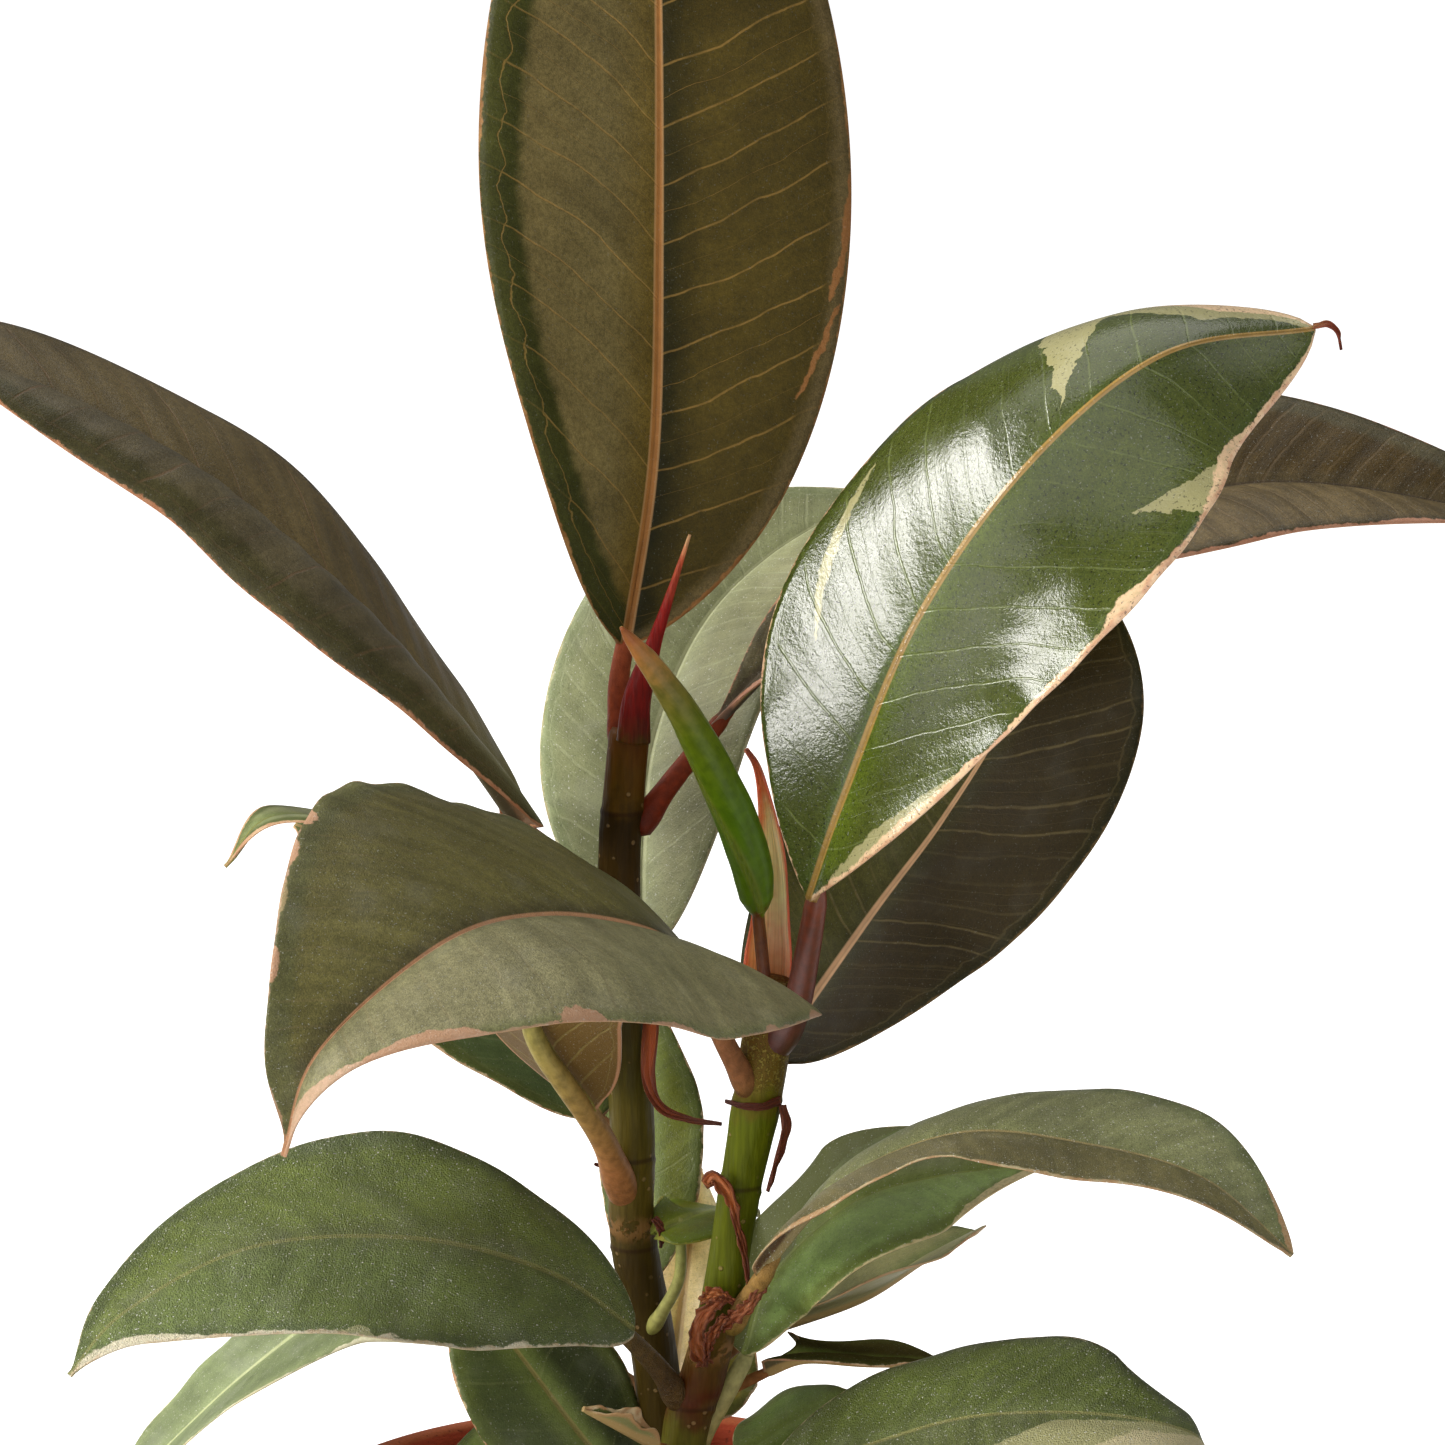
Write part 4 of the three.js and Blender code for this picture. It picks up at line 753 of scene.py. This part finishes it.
def make_pot():
    rim, collar = POT_HEIGHT, POT_HEIGHT - COLLAR_HEIGHT
    profile = rounded_profile([
        (0.01, 0, 0), (POT_BASE_RADIUS - 3, 0, 0.6), (POT_BASE_RADIUS - 2.2, 0.5, 0.4),
        (POT_BASE_RADIUS, 1.0, 0.8), (POT_NECK_RADIUS, collar, 0.5),
        (POT_NECK_RADIUS + COLLAR_STEP, collar + 1, 0.9),
        (POT_RIM_RADIUS - 0.1, rim - 3.2, 2.0), (POT_RIM_RADIUS - 1.4, rim, 1.5),
        (inner_radius(rim) + 1.0, rim, 0.9), (inner_radius(rim - 2), rim - 2, 1.4),
        (inner_radius(POT_FLOOR), POT_FLOOR, 2.0), (0.01, POT_FLOOR, 0),
    ], 7)
    fine = [profile[0]]
    for start, end in zip(profile[:-1], profile[1:]):
        steps = max(1, int(np.linalg.norm(end - start) / POT_STEP))
        fine += [start + (end - start) * k / steps for k in range(1, steps + 1)]
    fine = np.array(fine)
    turn = angles(POT_SIDES)
    radius, height = fine[:, :1], fine[:, 1:]
    wobble = 1 + 0.0012 * np.sin(2 * turn + height / 30) + 0.0008 * np.sin(5 * turn - height / 17)
    top = int(np.argmax(fine[:, 1] + 0.01 * fine[:, 0]))
    inside = np.repeat(smooth_step(np.arange(len(fine)), top + 5, top + 9), POT_SIDES)
    points = turned(radius * wobble, height, POT_SIDES)
    parts = [(points, grid_faces(len(fine), POT_SIDES, closed=True), {"inside": inside})]
    make_piece("pot", parts, fired_clay())


def crumb(random, size):
    """An uneven small lump: a cube's corners and face centres, pushed about."""
    corners = np.array([(x, y, z) for x in (-1, 1) for y in (-1, 1) for z in (-1, 1)]) * 0.62
    middles = [s * row for row in np.eye(3) for s in (-1, 1)]
    points = np.vstack([corners, middles]) * random.uniform(0.75, 1.25, (14, 1))
    points = points * random.uniform(0.6, 1.3, 3) * size
    spin = random.uniform(0, 2 * np.pi)
    cos, sin = math.cos(spin), math.sin(spin)
    points = points @ np.array([[cos, sin, 0], [-sin, cos, 0], [0, 0, 1]])
    rings = [(0, 1, 3, 2), (4, 6, 7, 5), (0, 4, 5, 1), (2, 3, 7, 6), (0, 2, 6, 4), (1, 5, 7, 3)]
    return points, [(8 + n, ring[k], ring[(k + 1) % 4]) for n, ring in enumerate(rings) for k in range(4)]


def soil_height(x, y):
    return SOIL_TOP + 1.1 * (np.sin(0.31 * x + 1) * np.cos(0.27 * y) + 0.5 * np.sin(0.6 * (x + y)))


def make_soil():
    outer = inner_radius(SOIL_TOP) - SOIL_GAP
    top = turned(np.linspace(0.01, outer, SOIL_RINGS)[:, None], 0.0, SOIL_SIDES)
    x, y = top[..., 0], top[..., 1]
    top[..., 2] = soil_height(x, y) - 0.5 + 0.25 * np.sin(2.1 * x) * np.sin(1.9 * y)
    down = np.linspace(SOIL_TOP - 2, POT_FLOOR + SOIL_GAP, 12)[:, None]
    shell = np.vstack([top, turned(np.minimum(inner_radius(down) - SOIL_GAP, outer), down, SOIL_SIDES)])
    faces = grid_faces(len(shell), SOIL_SIDES, closed=True)
    faces.append(range((len(shell) - 1) * SOIL_SIDES, len(shell) * SOIL_SIDES))
    parts = [(shell, faces, {"fleck": 0.3})]
    random = np.random.default_rng(7)
    for _ in range(SOIL_CRUMBS):
        size = float(np.clip(random.lognormal(-0.05, 0.45), 0.4, 2.6))
        distance = (outer - 2.2) * math.sqrt(random.uniform())
        angle = random.uniform(0, 2 * np.pi)
        x, y = distance * math.cos(angle), distance * math.sin(angle)
        points, faces = crumb(random, size)
        points += (x, y, soil_height(x, y) - 0.4 + 0.25 * size)
        parts.append((points, faces, {"fleck": random.uniform()}))
    make_piece("soil", parts, soil_material())


def rgb(code):
    """A colour as it looks on a screen, such as "#808080", in the linear values of shaders."""
    parts = [int(code[k:k + 2], 16) / 255 for k in (1, 3, 5)]
    return [p / 12.92 if p <= 0.04045 else ((p + 0.055) / 1.055) ** 2.4 for p in parts] + [1.0]


def sum_of(operation, swapped=False):
    """A method of Value that makes a math node."""
    def method(self, other=0.0):
        return self.math(operation, *((other, self) if swapped else (self, other)))
    return method


class Value:
    """An output of a node, which can be used in sums; | gives the stronger of two shares."""

    def __init__(self, graph, socket):
        self.math, self.socket = graph.math, socket

    __add__, __sub__, __rsub__ = sum_of("ADD"), sum_of("SUBTRACT"), sum_of("SUBTRACT", swapped=True)
    __mul__, __truediv__, __or__, __abs__ = map(sum_of, ("MULTIPLY", "DIVIDE", "MAXIMUM", "ABSOLUTE"))


class Graph:
    """The nodes of a material or world, with short calls that add to them."""

    def __init__(self, owner, shader="Principled BSDF"):
        owner.use_nodes = True
        self.owner, self.tree = owner, owner.node_tree
        self.shader = self.tree.nodes[shader]

    def fill(self, node, inputs):
        """Sets inputs of a node, and links those that are given a Value."""
        for key, value in inputs.items():
            socket = node.inputs[key]
            if isinstance(value, Value):
                self.tree.links.new(value.socket, socket)
            elif isinstance(value, str):
                socket.default_value = rgb(value)[:len(socket.default_value)]
            else:
                socket.default_value = value

    def node(self, kind, inputs, output=0, **settings):
        node = self.tree.nodes.new("ShaderNode" + kind)
        for key, value in settings.items():
            setattr(node, key, value)
        self.fill(node, inputs)
        return Value(self, node.outputs[output])

    def math(self, operation, a, b=0.0, c=0.0):
        return self.node("Math", {0: a, 1: b, 2: c}, operation=operation)

    def attribute(self, name):
        return self.node("Attribute", {}, "Fac", attribute_name=name)

    def place(self):
        """Where a point is on the object, in mm."""
        return self.shade(self.node("TexCoord", {}, "Object"), 1000.0)

    def height(self, place):
        return self.node("SeparateXYZ", {0: place}, "Z")

    def point(self, x, y, z=0.0):
        return self.node("CombineXYZ", {0: x, 1: y, 2: z})

    def stretch(self, place, *scale):
        return self.node("Mapping", {"Vector": place, "Scale": scale})

    def rise(self, value, low, high, start=0.0, end=1.0):
        """Goes smoothly from start at low to end at high."""
        inputs = {"Value": value, "From Min": low, "From Max": high, "To Min": start, "To Max": end}
        return self.node("MapRange", inputs, interpolation_type="SMOOTHSTEP")

    def fall(self, value, low, high):
        return self.rise(value, low, high, 1.0, 0.0)

    def mix(self, share, first, second):
        return self.node("Mix", {0: share, 6: first, 7: second}, 2, data_type="RGBA")

    def noise(self, vector, scale, detail=2.0, roughness=0.5):
        inputs = {"Vector": vector, "Scale": scale, "Detail": detail, "Roughness": roughness}
        return self.node("TexNoise", inputs, "Fac")

    def chance(self, number, seed):
        """A random share, the same wherever number is the same."""
        spot = self.point(number, seed)
        return self.node("TexWhiteNoise", {"Vector": spot}, "Value", noise_dimensions="2D")

    def shade(self, colour, amount):
        """Multiplies a colour by a number."""
        return self.node("VectorMath", {0: colour, "Scale": amount}, operation="SCALE")

    def vary(self, colour, noise, low, high):
        """Multiplies a colour by low to high, as a noise varies."""
        return self.shade(colour, self.rise(noise, 0.25, 0.75, low, high))

    def bands(self, value, stops):
        """Colours along a value: stops gives them for values from low to high."""
        low, high = min(stops), max(stops)
        ramp_node = self.node("ValToRGB", {0: (value - low) / (high - low)})
        elements = ramp_node.socket.node.color_ramp.elements
        elements[0].color, elements[1].color = rgb(stops[low]), rgb(stops[high])
        for place in list(stops)[1:-1]:
            elements.new((place - low) / (high - low)).color = rgb(stops[place])
        return ramp_node

    def finish(self, colour, roughness, relief, depth, specular, glow=None, tint=(1.0, 0.9, 0.6)):
        """The finished material: relief from 0 to 1 with its depth in mm, and glow in thin tissue."""
        normal = self.node("Bump", {"Height": relief, "Distance": depth * MM})
        inputs = {"Base Color": colour, "Roughness": roughness, "Normal": normal}
        inputs["Specular IOR Level"] = specular
        if glow is not None:
            inputs |= {"Subsurface Weight": glow, "Subsurface Scale": THIN_GLOW, "Subsurface Radius": tint}
        self.fill(self.shader, inputs)
        return self.owner


def new_look(name):
    return Graph(bpy.data.materials.new(name))


def by_half(g, p, value):
    """A number or a colour that may differ between a blade's left and right halves."""
    left, right = both(value)
    return g.mix(p.half, left, right) if isinstance(left, str) else g.rise(p.half, 0.0, 1.0, left, right)


def side_veins(g, p, leaf):
    """Strength of the side veins. It also adds streaks that follow them."""
    climb = p.across * (p.across * by_half(g, p, leaf.bow) + by_half(g, p, leaf.slope))
    drift = (p.broad - 0.5) * 5.0 + (p.mid - 0.5) * 0.5
    phase = (p.along - climb + drift) / leaf.vein_step
    p.streaks = g.noise(g.point(phase * 1.7, p.across * 0.04, leaf.seed), 1.0, 3.0)
    lean = leaf.vein_step / math.hypot(1, sum(both(leaf.slope)) / 2)
    width = leaf.vein_mm

    def lines(number, wide, weakest, seed):
        """Fine lines at every whole number, each with a strength of its own."""
        gap = (0.5 - abs(g.math("FRACT", number) - 0.5)) * lean
        luck = g.chance(g.math("FLOOR", number + 0.5), seed)
        return g.fall(gap, wide * 0.25, wide) * g.rise(luck, 0.1, 0.9, weakest, 1.0)

    main = lines(phase, width, leaf.vein_even, leaf.seed)
    fine = lines(phase * leaf.minor, width * 0.6, 0.0, leaf.seed + 5) * leaf.minor_share
    zigzag = g.math("PINGPONG", phase * leaf.hem_every + 0.3, 0.5)
    hem_place = zigzag * (leaf.hem_mm * 0.7) + leaf.hem_mm * 0.75 + (p.mid - 0.5) * 2.0
    hem_gap = p.edge - hem_place
    hem = g.fall(abs(hem_gap), width * 0.2, width * 0.9) * by_half(g, p, leaf.hem)
    inside = g.rise(hem_gap, -0.6, 0.4, 0.25, 1.0)
    return (main | fine) * inside * g.rise(p.mid, 0.3, 0.6, 0.55, 1.0) | hem


def mark_share(g, p, side, start, end, reach, lean, first=0.0, last=0.0):
    """Share of one pale mark: a ragged tongue along the side veins, or a strip inside them."""
    t = (p.ragged_along + p.edge * lean - start) / (end - start)
    room = (1.0 - abs(t * 2.0 - 1.0)) | 0.0
    depth = g.math("POWER", room, 1.0 if reach > TONGUE_REACH else 0.6) * reach
    gap = abs(p.ragged_edge - (t * (last - first) + first))
    share = g.fall(gap - depth, -0.25, 0.2) * g.rise(room, 0.0, 0.03)
    return share * (p.half if side > 0 else 1.0 - p.half)


def pale_margin(g, p, leaf):
    """Share of the thin pale line round the blade, which widens and fades along it."""
    vary = g.rise(g.noise(g.point(p.along, p.half, leaf.seed), 0.09), 0.3, 0.7, 0.35, 1.6)
    return g.fall(p.ragged_edge - by_half(g, p, leaf.margin) * vary, -0.3, 0.15)


def midrib(g, p, leaf, colour):
    """The colour with the midrib and the pale line beside it laid over it."""
    rib = g.rise(p.u, 0.0, 1.0, *leaf.midrib_mm)
    # Painted shade: the middle of the midrib, along its groove, is darkened by up to a fifth.
    crease_shade = g.fall(p.across, 0.0, rib * 0.5) * 0.2
    rib_colour = g.vary(g.shade(leaf.midrib, 1.0 - crease_shade), p.mid, 0.88, 1.1)
    colour = g.mix(g.fall(p.across, rib * 0.75, rib * 1.15) * leaf.midrib_share, colour, rib_colour)
    return g.mix(g.fall(abs(p.across - rib * 0.95), 0.08, 0.3) * leaf.rib_rim, colour, leaf.rim_colour)


def upper_colour(g, p, leaf, veins):
    wobble = (p.mid - 0.5) * 2.5
    # Each half's rib tint is laid along the midrib; on leaf_top's right half that tint is a painted shadow
    # along the groove.
    near_rib = g.fall(p.across + wobble, 0.5, by_half(g, p, leaf.rib_mm))
    near_rib = near_rib * g.rise(p.u, 0.0, 1.0, 1.0, leaf.rib_fade)
    colour = g.mix(near_rib, by_half(g, p, leaf.blade), by_half(g, p, leaf.rib))
    near_edge = g.fall(p.edge + wobble - by_half(g, p, leaf.edge_mm), -1.5, 1.5)
    colour = g.mix(near_edge * 0.9, colour, by_half(g, p, leaf.edge))
    colour = g.vary(colour, p.broad, 0.84, 1.14)
    colour = g.vary(colour, p.mid, 0.9, 1.1)
    colour = g.vary(colour, p.streaks, 1 - leaf.streak, 1 + leaf.streak)
    colour = g.mix(g.rise(p.fine, 0.35, 0.7, 0.0, leaf.grain), colour, leaf.grain_colour)
    colour = g.shade(colour, g.rise(p.tiny, 0.3, 0.7, 1 - 0.5 * leaf.grain, 1 + 0.4 * leaf.grain))
    colour = g.mix(veins * leaf.vein_share, colour, leaf.vein)
    blotch = g.rise(p.fine, 0.4, 0.62, 0.0, 0.3)
    # A mark is a pale patch of the leaf's own colour, except the ash mark on leaf_right_mid, which is a
    # painted shadow.
    for tone, *mark in leaf.marks:
        tint = g.mix(blotch, getattr(leaf, tone), leaf.cream if tone == "pink" else leaf.ash)
        colour = g.mix(mark_share(g, p, *mark) * 0.93, colour, tint)
    tint = g.mix(g.rise(p.mid, 0.4, 0.6), leaf.cream, leaf.pink)
    colour = g.mix(pale_margin(g, p, leaf) * leaf.margin_share, colour, tint)
    speck = g.rise(p.dots, 0.62, 0.7)
    colour = g.shade(colour, g.rise(speck, 0.0, 1.0, 1.0, 1.0 - 0.6 * leaf.speck))
    return midrib(g, p, leaf, colour)


def leaf_places(g, leaf):
    """The places and noises that a leaf's material is made from."""
    keys = ("u", "v", "along", "across", "edge", "under", "stalk")
    p = Record(**{key: g.attribute(key) for key in keys})
    p.half = g.math("GREATER_THAN", p.v, 0.0)
    flat = g.point(p.along, p.across, leaf.seed * 7)
    p.across = abs(p.across)
    p.spot = g.place()
    p.broad = g.noise(flat, 0.05)
    p.mid = g.noise(flat, 0.35, 3.0)
    p.fine = g.noise(p.spot, 1.3, 3.0, 0.6)
    p.tiny = g.noise(p.spot, 3.6, 1.0)
    p.dots = g.noise(p.spot, 1.9, 1.0)
    p.ragged_along = p.along + (g.noise(flat, 0.22, 4.0, 0.6) - 0.5) * 7.0
    p.ragged_edge = p.edge + (g.noise(flat, 0.6, 4.0, 0.6) - 0.5) * 1.8
    return p


def leaf_material(leaf):
    g = new_look(leaf.name + "_skin")
    p = leaf_places(g, leaf)
    veins = side_veins(g, p, leaf)
    lower = g.shade(leaf.under, g.rise(p.broad, 0.2, 0.8, 0.8, 1.15))
    lower = g.mix(veins * 0.45, lower, leaf.vein)
    lower = g.mix(g.fall(p.edge, 0.4, 1.0) * 0.7, lower, leaf.pink)
    lower = g.mix(g.fall(p.across, 0.9, 1.5), lower, leaf.midrib)
    # The pale #d6d5cb laid over the leaf is real dust specks, and cloudy patches that are partly a real
    # dusty haze and partly a painted sheen.
    dust = g.rise(g.noise(p.spot, 2.6, 1.0), 0.67, 0.74) * leaf.dust
    film = g.rise(g.noise(p.spot, 0.12, 3.0), 0.5, 0.75) * leaf.film
    dust_and_sheen = dust | film
    colour = g.mix(dust_and_sheen, g.mix(p.under, upper_colour(g, p, leaf, veins), lower), "#d6d5cb")
    stalk = g.bands(p.u, dict(zip((0, 0.22, 1), leaf.stalk_skin)))
    colour = g.mix(p.stalk, colour, g.vary(stalk, g.noise(p.spot, 0.6, 3.0), 0.75, 1.25))
    base = leaf.roughness
    rough = g.rise(p.mid, 0.2, 0.8, base - 0.04, base + 0.06)
    rough = rough + (p.under | p.stalk) * (0.48 - base) + dust_and_sheen * 0.35
    height = g.noise(p.spot, leaf.peel_scale, 2.5, 0.55) * leaf.peel + veins * (-0.3 * leaf.vein_share)
    height = height + p.streaks * leaf.streak + p.tiny * leaf.grit
    height = height + p.edge * p.edge / (p.edge + 15.0) * p.half * leaf.turn
    return g.finish(colour, rough, height, 0.55, leaf.specular, leaf.glow)


def stem_material(stem):
    g = new_look(stem.name + "_bark")
    spot = g.place()
    height = g.height(spot)
    patchy = g.noise(spot, 0.22, 3.0)
    streaks = g.stretch(spot, 1.0, 1.0, 0.12)
    colour = g.bands(height + (patchy - 0.5) * 14.0, stem.bark)
    colour = g.vary(colour, g.noise(streaks, 1.1, 3.0), 0.82, 1.18)
    dots = g.node("TexVoronoi", {"Vector": spot, "Scale": 0.38}, "Distance")
    pale = g.fall(dots, 0.12, 0.2) * g.rise(g.noise(spot, 0.09, 1.0), 0.45, 0.55)
    colour = g.mix(pale * 0.4, colour, "#a5875a")
    scurf = g.rise(g.noise(spot, 2.2), 0.5, 0.62) * g.rise(height, stem.scurf, stem.scurf + 4.0)
    colour = g.mix(scurf * 0.5, colour, "#94853c")
    patch = g.fall(abs(height - stem.knot), 0.5, 3.2) * g.rise(g.noise(spot, 0.6, 3.0), 0.42, 0.52)
    colour = g.mix(patch * 0.6, colour, "#8a6238")
    scar = g.fall(abs(height - stem.rings[0]), 0.1, 0.7)
    for ring in stem.rings[1:]:
        scar = scar | g.fall(abs(height - ring), 0.1, 0.7)
    colour = g.mix(scar * 0.6, colour, "#2c1606")
    relief = g.noise(streaks, 1.3, 3.0) * 0.5 + pale * 0.5 + (patch + scurf) * 0.5
    return g.finish(colour, g.rise(patchy, 0.25, 0.75, 0.42, 0.6), relief, 0.45, 0.12)


def rolled_leaf_material():
    g = new_look("rolled_leaf_skin")
    u, v, seam = (g.attribute(key) for key in ("u", "v", "seam"))
    mid = g.noise(g.place(), 0.5, 3.0)
    colour = g.vary(g.bands(u + (mid - 0.5) * 0.12, ROLLED_BANDS), mid, 0.8, 1.2)
    colour = g.mix(seam * 0.35, colour, "#8f8a3c")
    relief = g.noise(g.point(u * 4.0, v * 22.0), 1.0) * 0.6 + seam
    return g.finish(colour, 0.4, relief, 0.2, 0.3, 0.3, (1.0, 0.9, 0.3))


def strip_material(strip):
    g = new_look(strip.name + "_skin")
    u, v, under, edge = (g.attribute(key) for key in ("u", "v", "under", "edge"))
    grain = g.noise(g.point(u * 3.0, v * 9.0, strip.seed), 1.0, 3.0)
    mid = g.noise(g.place(), 0.55, 3.0)
    along = u + (mid - 0.5) * 0.2
    colour = g.mix(under, g.bands(along, strip.front), g.bands(along, strip.back))
    colour = g.mix(g.fall(edge, strip.band * 0.3, strip.band * 1.6) * 0.75, colour, strip.edge)
    rough = g.rise(mid, 0.2, 0.8, 0.45, 0.65)
    return g.finish(g.vary(colour, grain, 0.78, 1.22), rough, grain, 0.3, 0.3, strip.glow, (1.0, 0.6, 0.35))


def spike_material():
    g = new_look("red_sheath_skin")
    spot = g.place()
    colour = g.bands(g.attribute("u") + (g.noise(spot, 0.5, 3.0) - 0.5) * 0.15, SPIKE_BANDS)
    streaks = g.noise(g.stretch(spot, 1.0, 1.0, 0.1), 1.6)
    return g.finish(g.vary(colour, streaks, 0.75, 1.25), 0.45, streaks, 0.3, 0.15, 0.15, (1.0, 0.3, 0.2))


def fired_clay():
    g = new_look("fired_clay")
    spot = g.place()
    broad = g.noise(spot, 0.035, 3.0)
    rings = g.noise(g.stretch(spot, 0.12, 0.12, 1.0), 1.3, 3.0)
    grit = g.noise(spot, 2.2, 3.0, 0.65)
    speck = g.rise(g.noise(spot, 1.1, 1.0), 0.68, 0.74)
    colour = g.mix(g.rise(broad, 0.3, 0.7), "#b5613f", "#a9552f")
    colour = g.vary(g.vary(colour, rings, 0.94, 1.06), grit, 0.9, 1.1)
    colour = g.mix(g.rise(g.noise(spot, 0.11, 4.0, 0.6), 0.5, 0.8) * 0.16, colour, "#d3a68d")
    colour = g.mix(g.fall(g.height(spot) + (broad - 0.5) * 12.0, 4.0, 26.0) * 0.3, colour, "#6f3420")
    colour = g.mix(g.attribute("inside") * 0.8, colour, "#a83a20")
    colour = g.mix(speck * 0.5, colour, "#5f2a18")
    relief = rings * 0.6 + grit * 0.5 + speck * -0.5
    return g.finish(colour, g.rise(broad, 0.3, 0.7, 0.72, 0.85), relief, 0.3, 0.3)


def soil_material():
    g = new_look("potting_soil")
    spot, fleck = g.place(), g.attribute("fleck")
    colour = g.mix(g.rise(g.noise(spot, 0.5, 4.0, 0.6), 0.3, 0.7), "#2b1d12", "#4a3421")
    colour = g.mix(g.rise(fleck, 0.55, 0.75), colour, "#6a4a2c")
    colour = g.mix(g.rise(fleck, 0.93, 0.95), colour, "#c9c2b2")
    return g.finish(colour, 0.9, g.noise(spot, 1.4, 4.0, 0.7), 0.9, 0.25)


def point_at(thing, spot, target):
    thing.location = Vector(spot) * MM
    thing.rotation_euler = (Vector(target) - Vector(spot)).to_track_quat("-Z", "Y").to_euler()


def make_camera():
    camera = bpy.data.cameras.new("photo_camera")
    camera.lens, camera.sensor_width, camera.sensor_fit = CAMERA_LENS, SENSOR_WIDTH, "HORIZONTAL"
    camera.clip_start, camera.clip_end = 0.05, 60.0
    thing = add_thing("photo_camera", camera)
    x, y, z = CAMERA_TARGET
    back, high = CAMERA_DISTANCE * math.cos(CAMERA_PITCH), CAMERA_DISTANCE * math.sin(CAMERA_PITCH)
    point_at(thing, (x, y - back, z + high), CAMERA_TARGET)
    bpy.context.scene.camera = thing


def make_light(name, middle, end, width, power, colour):
    """A softbox that faces the plant, with its long side towards end."""
    light = bpy.data.lights.new(name, "AREA")
    light.shape, light.size, light.size_y = "RECTANGLE", 2 * math.dist(middle, end) * MM, width
    light.energy, light.color = power, colour
    back = (Vector(middle) - Vector(LIT_SPOT)).normalized()
    long_side = Vector(end) - Vector(middle)
    long_side = (long_side - back * long_side.dot(back)).normalized()
    turn = Matrix((long_side, back.cross(long_side), back)).transposed().to_4x4()
    add_thing(name, light).matrix_world = Matrix.Translation(Vector(middle) * MM) @ turn


def make_sky():
    """White behind the plant, and dimmer as light and in reflections."""
    world = bpy.data.worlds.new("white_studio")
    g = Graph(world, "Background")
    camera, glossy = (g.node("LightPath", {}, key) for key in ("Is Camera Ray", "Is Glossy Ray"))
    strength = g.math("MULTIPLY_ADD", glossy, SKY_IN_GLOSS - SKY_STRENGTH, SKY_STRENGTH) | camera
    g.fill(g.shader, {"Color": "#ffffff", "Strength": strength})
    bpy.context.scene.world = world


def make_floor():
    far, z = FLOOR_REACH, FLOOR_LEVEL * MM
    corners = [(-far, -far, z), (far, -far, z), (far, far, z), (-far, far, z)]
    mesh = bpy.data.meshes.new("floor")
    mesh.from_pydata(corners, [], [range(4)])
    floor = add_thing("floor", mesh)
    g = new_look("floor_paint")
    glow = (g.node("LightPath", {}, "Is Camera Ray") + FLOOR_BOUNCE) * FLOOR_GLOW
    paint = {"Base Color": (0.92, 0.92, 0.92, 1.0), "Roughness": 0.9, "Specular IOR Level": 0.0}
    g.fill(g.shader, {**paint, "Emission Color": "#ffffff", "Emission Strength": glow})
    mesh.materials.append(g.owner)


make_camera()
make_sky()
for light in LIGHTS:
    make_light(*light)
make_floor()
bpy.context.scene.view_settings.view_transform = "Standard"
make_pot()
make_soil()
for stem in STEMS:
    make_stem(stem)
for record in LEAVES:
    make_leaf(record)
make_rolled_leaf()
make_spike()
for record in STRIPS:
    make_strip(record)
